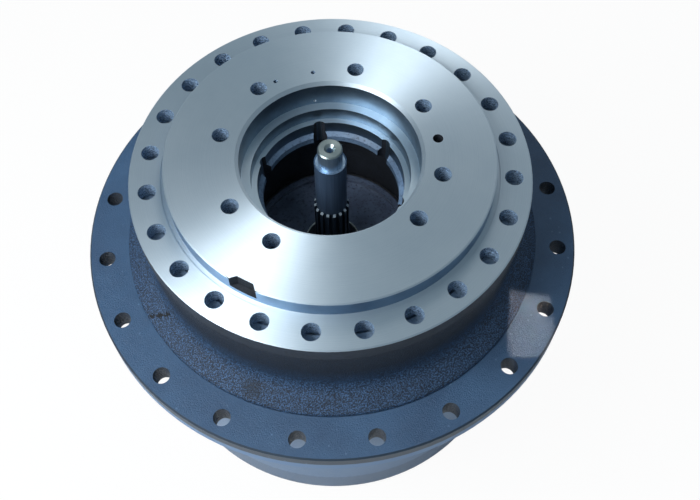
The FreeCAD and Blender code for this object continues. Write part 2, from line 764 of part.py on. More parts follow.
def cover_bolts():
    """Long bolts through cover and ring gear into the hub."""
    step = 360.0 / cover_bolt_count
    return [
        hex_bolt(cover_bolt_diameter, cover_bolt_head_width, ledge_z - cover_bolt_head_height,
                 cover_bolt_head_height, ring_top_z + cover_bolt_thread_length,
                 cover_bolt_circle / 2.0, cover_bolt_first_angle + step * i)
        for i in range(cover_bolt_count)
    ]


def cover_plugs():
    """Drain, level and filler plugs, each with a hexagon socket in its head."""
    plugs = []
    at_r = plug_circle / 2.0
    head_low_z = plug_pocket_depth - plug_head_height
    for angle in plug_angles:
        head = rod(plug_head_diameter / 2.0, head_low_z, plug_pocket_depth, at_r, angle)
        thread = rod(plug_diameter / 2.0, plug_pocket_depth, cover_floor_z, at_r, angle)
        socket = hexagon(plug_hexagon, head_low_z - cut_margin, head_low_z + plug_hexagon_depth, at_r, angle)
        plugs.append(head.fuse(thread).cut(socket))
    return plugs


# Main bearings: tapered rollers, with the large ends facing away from each other
def bearing_frame():
    """Cone length, apex height and slopes of a bearing, from the middle of its width."""
    pitch_r = (bearing_bore + bearing_outside_diameter) / 4.0 - pitch_radius_setback
    tilt = math.radians(roller_tilt)
    along = pitch_r / math.sin(tilt)
    taper = math.atan(roller_radius / along)
    apex = -pitch_r / math.tan(tilt)
    return along, apex, tilt, taper


def raceway_r(z, side, gap):
    """Radius of the inner (-1) or outer (+1) raceway at a height from the bearing's middle."""
    _, apex, tilt, taper = bearing_frame()
    return (z - apex) * math.tan(tilt + side * taper) + side * gap


def bearing_pieces():
    """Inner ring, outer ring, rollers and cage about the middle plane, opening upwards."""
    _, apex, tilt, _ = bearing_frame()
    half = bearing_width / 2.0
    bore_r = bearing_bore / 2.0
    outside_r = bearing_outside_diameter / 2.0
    rib_z = roller_length / 2.0 * math.cos(tilt) + roller_radius * math.sin(tilt) + inner_ring_rib_gap
    rib_r = raceway_r(rib_z, -1, moving_gap) + inner_ring_rib_height
    inner = turned([
        (bore_r, -half),
        (raceway_r(-half, -1, moving_gap), -half),
        (raceway_r(rib_z, -1, moving_gap), rib_z),
        (rib_r, rib_z),
        (rib_r, half),
        (bore_r, half),
    ])
    outer_top = half - outer_ring_setback
    outer = turned([
        (raceway_r(-half, 1, moving_gap), -half),
        (outside_r, -half),
        (outside_r, outer_top),
        (raceway_r(outer_top, 1, moving_gap), outer_top),
    ])
    rollers = roller_set(0.0)
    cage_half = roller_length / 2.0 + cage_end_width
    inside = cage_thickness / 2.0
    low_r = (-cage_half - apex) * math.tan(tilt)
    high_r = (cage_half - apex) * math.tan(tilt)
    cage = turned([
        (low_r - inside, -cage_half),
        (low_r + inside, -cage_half),
        (high_r + inside, cage_half),
        (high_r - inside, cage_half),
    ]).cut(roller_set(moving_gap))
    return inner, outer, rollers, cage


def roller_set(swell):
    """The rollers of one bearing, or with a swell the windows that they need in the cage."""
    along, apex, tilt, taper = bearing_frame()
    near = along - roller_length / 2.0 - swell
    length = roller_length + 2.0 * swell
    rollers = []
    for i in range(roller_count):
        turn = math.radians(360.0 / roller_count * i)
        axis = Vec(math.sin(tilt) * math.cos(turn), math.sin(tilt) * math.sin(turn), math.cos(tilt))
        foot = Vec(0, 0, apex) + axis * near
        small_r = near * math.tan(taper) + swell
        large_r = (near + length) * math.tan(taper) + swell
        rollers.append(Part.makeCone(small_r, large_r, length, foot, axis))
    return rollers


def place_bearing(shape, upper):
    """Moves a bearing piece to its seat; the lower bearing is the upper one turned over."""
    placed = shape.copy()
    if upper:
        placed.translate(Vec(0, 0, upper_bearing_top_z - bearing_width / 2.0))
    else:
        placed = placed.mirror(CENTRE, UP)
        placed.translate(Vec(0, 0, lower_bearing_low_z + bearing_width / 2.0))
    return placed


def bearing_nut():
    """Slotted ring nut that clamps the inner rings."""
    outside_r = nut_outside_diameter / 2.0
    nut = ring(nut_thread_diameter / 2.0, outside_r, nut_low_z, lower_bearing_low_z)
    slots = []
    for i in range(nut_slot_count):
        slot = Part.makeBox(nut_slot_depth * 2.0, nut_slot_width, nut_height / 2.0)
        slot.translate(Vec(outside_r - nut_slot_depth, -nut_slot_width / 2.0, nut_low_z))
        slot.rotate(CENTRE, UP, 360.0 / nut_slot_count * i)
        slots.append(slot)
    return nut.cut(slots + [lock_screw_hole()])


def lock_plate_outline(low_z, high_z):
    half = nut_slot_width / 2.0 - spline_gap
    inner_r = nut_thread_diameter / 2.0 + lock_plate_start
    plate = Part.makeBox(nut_outside_diameter / 2.0 - inner_r, 2.0 * half, high_z - low_z)
    plate.translate(Vec(inner_r, -half, low_z))
    return plate


def nut_lock():
    """Lock plate under the nut, with the tongue that stands in one of its slots."""
    plate = lock_plate_outline(nut_low_z - lock_plate_thickness, nut_low_z)
    tongue = lock_plate_outline(nut_low_z, nut_low_z + nut_height / 4.0)
    keep = ring(nut_outside_diameter / 2.0 - nut_slot_depth + spline_gap, nut_outside_diameter / 2.0,
                nut_low_z, nut_low_z + nut_height / 4.0)
    return plate.fuse(tongue.common(keep)).cut(lock_screw_hole())


def lock_screw_hole():
    """Hole through the lock plate and into the nut, filled by the screw's shank."""
    low_z = nut_low_z - lock_plate_thickness
    return rod(lock_screw_diameter / 2.0, low_z, nut_low_z + lock_screw_depth, lock_screw_circle_r)


def nut_lock_screw():
    head_top_z = nut_low_z - lock_plate_thickness
    head_low_z = head_top_z - lock_screw_head_height
    head = rod(lock_screw_head_diameter / 2.0, head_low_z, head_top_z, lock_screw_circle_r)
    return lock_screw_hole().fuse(head)


# Floating seal: two lapped metal rings, each pressed by a rubber ring
def seal_face_z():
    return flange_under_z - seal_face_below_flange


def seal_ring(above):
    inner_r = seal_ring_inside_diameter / 2.0
    outer_r = seal_ring_outside_diameter / 2.0
    way = 1.0 if above else -1.0
    face = seal_face_z() + way * moving_gap / 2.0
    back = face + way * seal_ring_height
    corners = [
        (inner_r, back),
        (inner_r, face + way * seal_ring_inner_relief),
        (outer_r - seal_lapped_band_width, face),
        (outer_r + seal_ring_flange_width, face),
        (outer_r + seal_ring_flange_width, face + way * seal_ring_flange_height),
        (outer_r, face + way * seal_ring_flange_height),
        (outer_r, back),
    ]
    return turned(corners)


def seal_rubber(above):
    outer_r = seal_ring_outside_diameter / 2.0
    way = 1.0 if above else -1.0
    near = seal_face_z() + way * seal_rubber_start
    far = near + way * seal_rubber_height
    return ring(outer_r, bearing_outside_diameter / 2.0, min(near, far), max(near, far))


# Second-stage carrier: splined into the spindle, so its planets stand still while the ring turns
def carrier_2():
    flange_r = carrier_2_flange_diameter / 2.0
    root_r = carrier_spline_inner_diameter / 2.0 - spline_gap
    tip_r = spindle_cavity_diameter / 2.0 - spline_gap
    boss_r = carrier_boss_diameter / 2.0
    bore_r = carrier_bore / 2.0
    neck_top_z = carrier_hub_top_z + 2.0 * snap_ring_thickness
    groove_top_z = carrier_hub_top_z + snap_ring_thickness
    dish_z = neck_top_z - carrier_dish_depth
    boss_top_z = neck_top_z - carrier_dish_depth + carrier_boss_height
    body = turned([
        (bore_r, carrier_2_low_z),
        (flange_r, carrier_2_low_z),
        (flange_r, carrier_2_top_z),
        (root_r, carrier_2_top_z),
        (root_r, carrier_hub_top_z),
        (root_r - snap_ring_groove_depth, carrier_hub_top_z),
        (root_r - snap_ring_groove_depth, groove_top_z),
        (root_r, groove_top_z),
        (root_r, neck_top_z),
        (root_r - carrier_neck_wall, neck_top_z),
        (root_r - carrier_neck_wall, dish_z),
        (boss_r, dish_z),
        (boss_r, boss_top_z),
        (bore_r + carrier_bore_chamfer, boss_top_z),
        (bore_r, boss_top_z - carrier_bore_chamfer),
    ])
    spline = spline_prism(carrier_spline_teeth, root_r + spline_gap - spline_root_overlap, tip_r, spline_gap,
                          carrier_2_top_z, carrier_hub_top_z)
    core = rod(root_r - spline_core_inset, carrier_2_top_z - cut_margin, carrier_hub_top_z + cut_margin)
    pads = circle_of_rods(carrier_top_pad_count, carrier_top_pad_radius, carrier_top_pad_diameter / 2.0,
                          dish_z - cut_margin, dish_z + carrier_top_pad_height, carrier_top_pad_first_angle)
    pin_seats = circle_of_rods(planet_2_count, stage_2_centre, pin_2_diameter / 2.0,
                               carrier_2_low_z - cut_margin, carrier_2_top_z + cut_margin,
                               planet_2_first_angle)
    return body.fuse([spline.cut(core)] + pads).cut(pin_seats)


def carrier_2_snap_ring():
    root_r = carrier_spline_inner_diameter / 2.0 - spline_gap
    outer_r = spindle_cavity_diameter / 2.0 - snap_ring_tip_gap
    snap = ring(root_r - snap_ring_groove_depth, outer_r, carrier_hub_top_z,
                carrier_hub_top_z + snap_ring_thickness)
    opening = Part.makeBox(outer_r, snap_ring_opening, 3.0 * snap_ring_thickness)
    opening.translate(Vec(0, -snap_ring_opening / 2.0, carrier_hub_top_z - snap_ring_thickness))
    return snap.cut(opening)


def planet_pins_2():
    return circle_of_rods(planet_2_count, stage_2_centre, pin_2_diameter / 2.0,
                          pin_plate_2_top_z, carrier_2_top_z, planet_2_first_angle)


def pin_plate(count, first_angle, centre_r, inner_r, outer_r, low_z, high_z):
    """Retaining plate that joins the free ends of the planet pins."""
    plate = ring(inner_r, outer_r, low_z, high_z)
    holes = circle_of_rods(count, centre_r, pin_bolt_diameter / 2.0, low_z - cut_margin, high_z + cut_margin,
                           first_angle)
    return plate.cut(holes)


def pin_bolts(count, first_angle, centre_r, low_z):
    """Bolts that hold a retaining plate to the pin ends."""
    return [
        hex_bolt(pin_bolt_diameter, pin_bolt_head_width, low_z - pin_bolt_head_height, pin_bolt_head_height,
                 low_z + pin_bolt_length, centre_r, angle)
        for angle in planet_angles(count, first_angle)
    ]


def with_bolt_holes(pins, count, first_angle, centre_r, low_z):
    """Planet pins with the threaded hole for the retaining plate's bolt."""
    holes = circle_of_rods(count, centre_r, pin_bolt_diameter / 2.0, low_z, low_z + pin_bolt_length,
                           first_angle)
    return [pin.cut(hole) for pin, hole in zip(pins, holes)]


def thrust_washers(count, first_angle, centre_r, pin_r, planet_root_r, levels):
    """Washers on both sides of each planet."""
    washers = []
    for low_z in levels:
        for angle in planet_angles(count, first_angle):
            high_z = low_z + thrust_washer_thickness
            outer = rod(planet_root_r - thrust_washer_inset, low_z, high_z, centre_r, angle)
            inner = rod(pin_r, low_z, high_z, centre_r, angle)
            washers.append(outer.cut(inner))
    return washers


def planet(teeth, sun_teeth, sun_phase, centre_r, angle, pin_r, low_z, high_z):
    """Planet gear and the bearing sleeve pressed in its bore."""
    sleeve_r = pin_r + running_clearance + planet_bearing_wall
    gear = outer_gear(teeth, low_z, high_z, planet_phase(angle, sun_teeth, teeth, sun_phase))
    gear = gear.cut(rod(sleeve_r, low_z - cut_margin, high_z + cut_margin))
    sleeve = ring(pin_r + running_clearance, sleeve_r, low_z, high_z)
    gear.translate(polar(centre_r, angle))
    sleeve.translate(polar(centre_r, angle))
    return gear, sleeve


# First-stage carrier: a plate that hangs under the second sun and turns with it
def carrier_1():
    plate = ring(sun_2_bore / 2.0 + carrier_1_rim, carrier_1_diameter / 2.0, carrier_1_low_z, carrier_1_top_z)
    spaces = gear_face(sun_2_teeth, gear_module * (sun_2_teeth / 2.0 + 1.0) + sun_2_seat_clearance,
                       gear_module * (sun_2_teeth / 2.0 - tooth_foot_factor) + sun_2_seat_clearance,
                       -2.0 * spline_gap, 0.0)
    spaces.translate(Vec(0, 0, sun_2_low_z))
    seat = spaces.extrude(UP * (carrier_1_top_z - sun_2_low_z + cut_margin))
    pins = circle_of_rods(planet_1_count, stage_1_centre, pin_1_diameter / 2.0,
                          carrier_1_low_z - cut_margin, carrier_1_top_z + cut_margin, planet_1_first_angle)
    return plate.cut([seat] + pins)


def planet_pins_1():
    return circle_of_rods(planet_1_count, stage_1_centre, pin_1_diameter / 2.0,
                          pin_plate_1_top_z, carrier_1_top_z, planet_1_first_angle)


def sun_gear_2():
    """Second sun: its lower end stands in the first carrier and turns with it."""
    gear = outer_gear(sun_2_teeth, sun_2_low_z, sun_2_top_z, 0.0)
    return gear.cut(rod(sun_2_bore / 2.0, sun_2_low_z - cut_margin, sun_2_top_z + cut_margin))


def sun_shaft():
    """Input shaft: a splined top for the motor and the first sun's teeth at the foot."""
    boss_r = shaft_boss_diameter / 2.0
    body_r = shaft_body_diameter / 2.0
    root_r = shaft_spline_root_diameter / 2.0
    lower_r = shaft_lower_diameter / 2.0
    foot_r = shaft_foot_diameter / 2.0
    step_z = shaft_top_z - shaft_boss_length
    spline_top_z = frame_z - shaft_spline_top_below_frame
    spline_low_z = spline_top_z - shaft_spline_length
    chamfer = shaft_chamfer
    bar = turned([
        (0.0, shaft_foot_z),
        (foot_r, shaft_foot_z),
        (foot_r, planet_1_low_z),
        (lower_r, planet_1_low_z),
        (lower_r, spline_low_z),
        (root_r, spline_low_z),
        (root_r, spline_top_z),
        (body_r, spline_top_z),
        (body_r, step_z + chamfer),
        (body_r - chamfer, step_z),
        (boss_r, step_z),
        (boss_r, shaft_top_z - chamfer),
        (boss_r - chamfer, shaft_top_z),
        (shaft_centre_hole, shaft_top_z),
        (shaft_centre_hole / 2.0, shaft_top_z - shaft_centre_hole / 2.0),
        (shaft_centre_hole / 2.0, shaft_top_z - shaft_centre_hole_depth),
        (0.0, shaft_top_z - shaft_centre_hole_depth - shaft_centre_hole_tip),
    ])
    spline = spline_prism(shaft_spline_teeth, root_r - cut_margin, shaft_spline_diameter / 2.0, 0.0,
                          spline_low_z, spline_top_z)
    rounded_end = turned([
        (0.0, spline_low_z - cut_margin),
        (shaft_spline_diameter / 2.0 + cut_margin, spline_low_z - cut_margin),
        (shaft_spline_diameter / 2.0 + cut_margin, spline_top_z - spline_end_drop),
        (root_r - 2.0 * cut_margin, spline_top_z + spline_end_rise),
        (0.0, spline_top_z + spline_end_rise),
    ])
    pinion = outer_gear(sun_1_teeth, planet_1_low_z, planet_1_top_z, sun_1_phase())
    return bar.fuse([spline.common(rounded_end), pinion])


def export(name, solids):
    """Writes one node; a list of solids becomes one compound."""
    solids = solids if isinstance(solids, list) else [solids]
    pieces = [piece for shape in solids for piece in shape.Solids]
    shape = pieces[0] if len(pieces) == 1 else Part.makeCompound(pieces)
    shape.exportStep(os.path.join("parts", name + ".step"))


def build():
    os.makedirs("parts", exist_ok=True)
    export("spindle", spindle())
    export("frame_flange", frame_flange())
    export("hub", hub())
    export("sprocket_flange", sprocket_flange())
    export("ring_gear", ring_gear())
    export("cover", cover())
    export("cover_bolts", cover_bolts())
    export("cover_plugs", cover_plugs())
    export("sun_shaft", sun_shaft())

    inner, outer, rollers, cage = bearing_pieces()
    for place in ("upper", "lower"):
        upper = place == "upper"
        export("bearing_inner_ring_" + place, place_bearing(inner, upper))
        export("bearing_outer_ring_" + place, place_bearing(outer, upper))
        export("bearing_rollers_" + place, [place_bearing(roller, upper) for roller in rollers])
        export("bearing_cage_" + place, place_bearing(cage, upper))
        export("seal_ring_" + place, seal_ring(upper))
        export("seal_rubber_" + place, seal_rubber(upper))
    export("bearing_nut", bearing_nut())
    export("nut_lock_plate", nut_lock())
    export("nut_lock_screw", nut_lock_screw())

    export("carrier_2", carrier_2())
    export("carrier_2_snap_ring", carrier_2_snap_ring())
    pins_2 = with_bolt_holes(planet_pins_2(), planet_2_count, planet_2_first_angle, stage_2_centre,
                             pin_plate_2_top_z)
    export("planet_pins_2", pins_2)
    plate_in_r = stage_2_centre - pin_plate_half_width
    plate_out_r = stage_2_centre + pin_plate_half_width
    export("pin_plate_2", pin_plate(planet_2_count, planet_2_first_angle, stage_2_centre, plate_in_r,
                                    plate_out_r, pin_plate_2_low_z, pin_plate_2_top_z))
    export("pin_bolts_2", pin_bolts(planet_2_count, planet_2_first_angle, stage_2_centre, pin_plate_2_low_z))
    root_2_r = gear_module * (planet_2_teeth / 2.0 - tooth_foot_factor)
    export("thrust_washers_2", thrust_washers(
        planet_2_count, planet_2_first_angle, stage_2_centre, pin_2_diameter / 2.0, root_2_r,
        [pin_plate_2_top_z, carrier_2_low_z - thrust_washer_thickness]
    ))
    export("sun_2_thrust_washer", ring(
        carrier_bore / 2.0 + sun_2_washer_inset, gear_module * sun_2_teeth / 2.0 - sun_2_washer_inset,
        carrier_2_low_z - thrust_washer_thickness, carrier_2_low_z
    ))

    export("carrier_1", carrier_1())
    export("sun_gear_2", sun_gear_2())
    pins_1 = with_bolt_holes(planet_pins_1(), planet_1_count, planet_1_first_angle, stage_1_centre,
                             pin_plate_1_top_z)
    export("planet_pins_1", pins_1)
    plate_in_r = stage_1_centre - pin_plate_half_width
    plate_out_r = stage_1_centre + pin_plate_half_width
    export("pin_plate_1", pin_plate(planet_1_count, planet_1_first_angle, stage_1_centre, plate_in_r,
                                    plate_out_r, pin_plate_1_low_z, pin_plate_1_top_z))
    export("pin_bolts_1", pin_bolts(planet_1_count, planet_1_first_angle, stage_1_centre, pin_plate_1_low_z))
    root_1_r = gear_module * (planet_1_teeth / 2.0 - tooth_foot_factor)
    export("thrust_washers_1", thrust_washers(
        planet_1_count, planet_1_first_angle, stage_1_centre, pin_1_diameter / 2.0, root_1_r,
        [pin_plate_1_top_z, carrier_1_low_z - thrust_washer_thickness]
    ))

    for i, angle in enumerate(planet_angles(planet_1_count, planet_1_first_angle)):
        gear, sleeve = planet(planet_1_teeth, sun_1_teeth, sun_1_phase(), stage_1_centre, angle,
                              pin_1_diameter / 2.0, planet_1_low_z, planet_1_top_z)
        export("planet_1_%d" % (i + 1), gear)
        export("planet_bearing_1_%d" % (i + 1), sleeve)
    for i, angle in enumerate(planet_angles(planet_2_count, planet_2_first_angle)):
        gear, sleeve = planet(planet_2_teeth, sun_2_teeth, 0.0, stage_2_centre, angle,
                              pin_2_diameter / 2.0, planet_2_low_z, planet_2_top_z)
        export("planet_2_%d" % (i + 1), gear)
        export("planet_bearing_2_%d" % (i + 1), sleeve)

    rib_in_r = cover_rib_inner_diameter / 2.0
    rib_out_r = cover_rib_outer_diameter / 2.0
    export("thrust_plate", ring(rib_in_r, rib_out_r, thrust_plate_top_z - thrust_plate_thickness,
                                thrust_plate_top_z))
    button_top_z = shaft_foot_z - moving_gap
    export("thrust_button", rod(thrust_button_diameter / 2.0, button_top_z - thrust_button_height,
                                button_top_z))
    spigot_r = ring_counterbore_diameter / 2.0
    for name, low_z in (("hub_o_ring", ring_top_z - spigot_length), ("cover_o_ring", joint_z)):
        middle_z = low_z + spigot_length / 2.0
        export(name, ring(spigot_r - o_ring_depth, spigot_r, middle_z - o_ring_width / 2.0,
                          middle_z + o_ring_width / 2.0))


build()
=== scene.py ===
import math
from types import SimpleNamespace

import bpy
import numpy as np
from mathutils import Matrix, Vector


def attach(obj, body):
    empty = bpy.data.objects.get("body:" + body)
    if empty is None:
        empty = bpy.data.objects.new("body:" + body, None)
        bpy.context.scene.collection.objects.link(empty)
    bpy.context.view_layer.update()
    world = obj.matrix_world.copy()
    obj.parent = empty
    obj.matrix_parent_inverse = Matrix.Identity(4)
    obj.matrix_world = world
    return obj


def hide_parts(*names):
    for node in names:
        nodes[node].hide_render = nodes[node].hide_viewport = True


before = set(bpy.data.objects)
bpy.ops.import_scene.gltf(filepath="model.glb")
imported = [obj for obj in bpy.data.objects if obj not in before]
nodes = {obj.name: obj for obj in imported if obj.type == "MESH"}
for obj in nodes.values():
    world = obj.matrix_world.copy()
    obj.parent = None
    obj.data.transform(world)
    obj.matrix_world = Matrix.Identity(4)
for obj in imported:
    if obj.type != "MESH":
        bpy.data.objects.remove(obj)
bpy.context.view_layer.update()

# Camera: stands in front of the drive and looks down on the motor face at 58 degrees, with a
# slight roll. The lens shift is the small part of the photograph's off-centre framing that a turn
# of the camera can't give.
camera_azimuth = math.radians(-9.369)
camera_elevation = math.radians(58.195)
camera_roll = math.radians(-0.737)
camera_place = Vector((-0.08729, -0.61767, 1.33969))
focal_pixels = 894.6
picture_width = 700.0
sensor_width = 36.0
lens_shift_x = 0.00995
lens_shift_y = -0.0427
nearest_seen = 0.05

camera_data = bpy.data.cameras.new("view")
camera_data.sensor_width = sensor_width
camera_data.lens = focal_pixels / picture_width * sensor_width
camera_data.shift_x = lens_shift_x
camera_data.shift_y = lens_shift_y
camera_data.clip_start = nearest_seen
camera = bpy.data.objects.new("view", camera_data)
bpy.context.scene.collection.objects.link(camera)
level = Vector((math.cos(camera_azimuth), math.sin(camera_azimuth), 0.0))
away = Vector((
    math.sin(camera_azimuth) * math.cos(camera_elevation),
    -math.cos(camera_azimuth) * math.cos(camera_elevation),
    math.sin(camera_elevation),
))
upright = away.cross(level)
side = level * math.cos(camera_roll) + upright * math.sin(camera_roll)
upright = away.cross(side)
camera.matrix_world = Matrix((
    (side.x, upright.x, away.x, camera_place.x),
    (side.y, upright.y, away.y, camera_place.y),
    (side.z, upright.z, away.z, camera_place.z),
    (0.0, 0.0, 0.0, 1.0),
))
bpy.context.scene.camera = camera
bpy.context.scene.view_settings.view_transform = "Standard"


# Floor and studio: a white table that shows white to the camera but keeps a soft shadow, a sky
# that is bright above and dimmer low down, three large soft lamps and one narrow beam of sun.
def tone(red, green, blue):
    """Colour values of 0 to 255 as seen on a screen, turned into the shader's linear values."""
    seen = np.array([red, green, blue]) / 255.0
    linear = np.where(seen <= 0.04045, seen / 12.92, ((seen + 0.055) / 1.055) ** 2.4)
    return (*(float(v) for v in linear), 1.0)


def new_piece(name, points, faces, smooth_limit=35.0):
    """Mesh object from arrays of points and faces, with edges sharper than the limit kept crisp."""
    mesh = bpy.data.meshes.new(name)
    mesh.from_pydata(points.tolist(), [], faces.tolist())
    mesh.polygons.foreach_set("use_smooth", np.ones(len(mesh.polygons), bool))
    mesh.set_sharp_from_angle(angle=math.radians(smooth_limit))
    mesh.update()
    piece = bpy.data.objects.new(name, mesh)
    bpy.context.scene.collection.objects.link(piece)
    return piece


def new_finish(name, metallic, roughness):
    """Material with plain metallic and roughness values: returns it, its nodes, links and shader."""
    material = bpy.data.materials.new(name)
    material.use_nodes = True
    tree = material.node_tree
    shader = tree.nodes["Principled BSDF"]
    shader.inputs["Metallic"].default_value = metallic
    shader.inputs["Roughness"].default_value = roughness
    return material, tree.nodes, tree.links, shader


def fed(link, socket, value):
    """Gives a socket its value: another node's output is linked to it, a plain value is written."""
    if isinstance(value, bpy.types.NodeSocket):
        link.new(value, socket)
    else:
        socket.default_value = value


def calculation(made, link, operation, first, second):
    """Result of a maths node."""
    node = made.new("ShaderNodeMath")
    node.operation = operation
    fed(link, node.inputs[0], first)
    fed(link, node.inputs[1], second)
    return node.outputs[0]


def shown_to_camera(made, link, lit, shown, share, out):
    """The camera sees the shown shader, up to a share; every other ray meets the lit one."""
    path = made.new("ShaderNodeLightPath")
    mix = made.new("ShaderNodeMixShader")
    link.new(calculation(made, link, "MULTIPLY", path.outputs["Is Camera Ray"], share), mix.inputs[0])
    link.new(lit.outputs[0], mix.inputs[1])
    link.new(shown.outputs[0], mix.inputs[2])
    link.new(mix.outputs[0], out.inputs["Surface"])


white = (1.0, 1.0, 1.0, 1.0)
table_colour = (0.85, 0.85, 0.86, 1.0)
table_half = 6.0
table_glow_share = 0.95
table_corners = np.array([(-1, -1, 0), (1, -1, 0), (1, 1, 0), (-1, 1, 0)]) * table_half
floor = new_piece("floor", table_corners, np.array([[0, 1, 2, 3]]))
floor_finish, made, link, shader = new_finish("white table", 0.0, 0.7)
shader.inputs["Base Color"].default_value = table_colour
glow = made.new("ShaderNodeEmission")
glow.inputs["Color"].default_value = white
shown_to_camera(made, link, shader, glow, table_glow_share, made["Material Output"])
floor.data.materials.append(floor_finish)

sky_low_colour = (0.10, 0.13, 0.18, 1.0)
sky_high_colour = (0.31, 0.39, 0.43, 1.0)
sky_high_from = 0.85
world = bpy.data.worlds.new("studio")
bpy.context.scene.world = world
world.use_nodes = True
made = world.node_tree.nodes
link = world.node_tree.links
made.clear()
direction = made.new("ShaderNodeTexCoord")
parts = made.new("ShaderNodeSeparateXYZ")
ramp = made.new("ShaderNodeValToRGB")
sky_low, sky_high = ramp.color_ramp.elements
sky_low.position = 0.0
sky_low.color = sky_low_colour
sky_high.position = sky_high_from
sky_high.color = sky_high_colour
sky = made.new("ShaderNodeBackground")
plain = made.new("ShaderNodeBackground")
plain.inputs["Color"].default_value = white
link.new(direction.outputs["Generated"], parts.inputs[0])
link.new(parts.outputs["Z"], ramp.inputs[0])
link.new(ramp.outputs[0], sky.inputs["Color"])
shown_to_camera(made, link, sky, plain, 1.0, made.new("ShaderNodeOutputWorld"))


def new_lamp(name, size, watts, colour):
    """Square lamp of a given size, not yet placed."""
    data = bpy.data.lights.new(name, "AREA")
    data.size = size
    data.energy = watts
    data.color = colour
    lamp = bpy.data.objects.new(name, data)
    bpy.context.scene.collection.objects.link(lamp)
    return lamp


lamps_aim = Vector((0.0, 0.0, 0.35))
for name, place, size, watts, colour in (
        ("left lamp", (-0.92, -0.44, 1.42), 0.9, 26.0, (0.93, 0.98, 1.0)),
        ("back lamp", (0.57, 1.54, 1.91), 0.7, 3.3, (1.0, 0.96, 0.92)),
        ("front lamp", (-0.9, -1.9, 0.5), 1.2, 1.2, (0.88, 0.96, 1.0))):
    lamp = new_lamp(name, size, watts, colour)
    lamp.location = place
    lamp.rotation_euler = (lamps_aim - Vector(place)).to_track_quat("-Z", "Y").to_euler()

# beam of sun: narrow and four-cornered, it falls on the right of the hub's foot
beam_width = 0.054
beam_depth = 0.082
beam_height = 0.30
beam_watts = 0.034
beam_spread = math.radians(2.0)
beam_foot = Vector((0.2165, -0.1905, 0.330))
beam_turn = Matrix.Rotation(math.radians(-11.0), 3, "Z")
beam_lean = Matrix.Rotation(math.radians(9.0), 3, "Y") @ Matrix.Rotation(math.radians(9.0), 3, "X")
beam_way = beam_turn @ beam_lean
beam = new_lamp("sun patch", beam_width, beam_watts, (1.0, 0.64, 0.44))
beam.data.shape = "RECTANGLE"
beam.data.size_y = beam_depth
beam.data.spread = beam_spread
beam_place = beam_foot + beam_way @ Vector((0.0, 0.0, beam_height))
beam.matrix_world = Matrix.Translation(beam_place) @ beam_way.to_4x4()


# Spindle: an iron casting, turned bright on its two flange faces, the disc's edge and the stepped
# bore, and left as cast in the cavity, in the bore's notches and in one flat of the disc's edge.
# The tool leaves fine rings around the axis, so the metal mirrors the light in sectors.
upright_rise = 0.2
smallest_area = 1e-15


def joined_surface(node):
    """The CAD piece's triangles with equal corners joined, as arrays of points and faces."""
    mesh = nodes[node].data
    corners = np.empty(len(mesh.vertices) * 3)
    mesh.vertices.foreach_get("co", corners)
    order = np.empty(len(mesh.loops), np.int64)
    mesh.loops.foreach_get("vertex_index", order)
    step = 1e-6
    places, where = np.unique(np.round(corners.reshape(-1, 3) / step).astype(np.int64), axis=0,
                              return_inverse=True)
    faces = where.ravel()[order].reshape(-1, 3)
    first, second, third = faces.T
    whole = (first != second) & (second != third) & (first != third)
    return places * step, faces[whole]


def face_facts(points, faces):
    """Each triangle's centre x, y, z, its distance r from the axis and its unit normal; rise is the
    normal's share along the axis, and a triangle with little of it stands upright."""
    x, y, z = points[faces].mean(axis=1).T
    first, second, third = points[faces].transpose(1, 0, 2)
    normal = np.cross(second - first, third - first)
    normal /= np.maximum(np.linalg.norm(normal, axis=1), smallest_area)[:, None]
    rise = normal[:, 2]
    return SimpleNamespace(x=x, y=y, z=z, r=np.hypot(x, y), normal=normal, rise=rise,
                           upright=np.abs(rise) < upright_rise)


def dressed(node, name, body, finishes, choose):
    """Joined copy of a CAD piece that stands for it; choose gives each face the number of its finish."""
    points, faces = joined_surface(node)
    piece = new_piece(name, points, faces)
    for finish in finishes:
        piece.data.materials.append(finish)
    numbers = choose(face_facts(points, faces)).astype(np.int32)
    piece.data.polygons.foreach_set("material_index", numbers)
    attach(piece, body)
    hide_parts(node)


def effect(name, inputs, outputs):
    """Empty shader group with the named inputs and outputs, each given with its kind."""
    group = bpy.data.node_groups.new(name, "ShaderNodeTree")
    for way, sockets in (("INPUT", inputs), ("OUTPUT", outputs)):
        for label, kind in sockets.items():
            group.interface.new_socket(label, in_out=way, socket_type=kind)
    start = group.nodes.new("NodeGroupInput")
    end = group.nodes.new("NodeGroupOutput")
    return group, group.nodes, group.links, start, end


def placed(made, group, **values):
    """A group in a material, with its own values."""
    node = made.new("ShaderNodeGroup")
    node.node_tree = group
    for label, value in values.items():
        node.inputs[label].default_value = value
    return node


def object_place(made):
    """Every point's place in the piece's own coordinates."""
    return made.new("ShaderNodeTexCoord").outputs["Object"]


def object_height(made, link):
    """Every point's height in the piece's own coordinates."""
    parts = made.new("ShaderNodeSeparateXYZ")
    link.new(object_place(made), parts.inputs[0])
    return parts.outputs["Z"]


def noise(made, link, place, scale, detail, roughness=0.5):
    """Cloudy noise over a place, 0 to 1."""
    node = made.new("ShaderNodeTexNoise")
    link.new(place, node.inputs["Vector"])
    fed(link, node.inputs["Scale"], scale)
    node.inputs["Detail"].default_value = detail
    node.inputs["Roughness"].default_value = roughness
    return node.outputs["Fac"]


def mapped(made, link, value, low, high, to_low=0.0, to_high=1.0):
    """The value's run from low to high, turned into a run from to_low to to_high."""
    node = made.new("ShaderNodeMapRange")
    fed(link, node.inputs["Value"], value)
    fed(link, node.inputs["From Min"], low)
    fed(link, node.inputs["From Max"], high)
    node.inputs["To Min"].default_value = to_low
    node.inputs["To Max"].default_value = to_high
    return node.outputs["Result"]


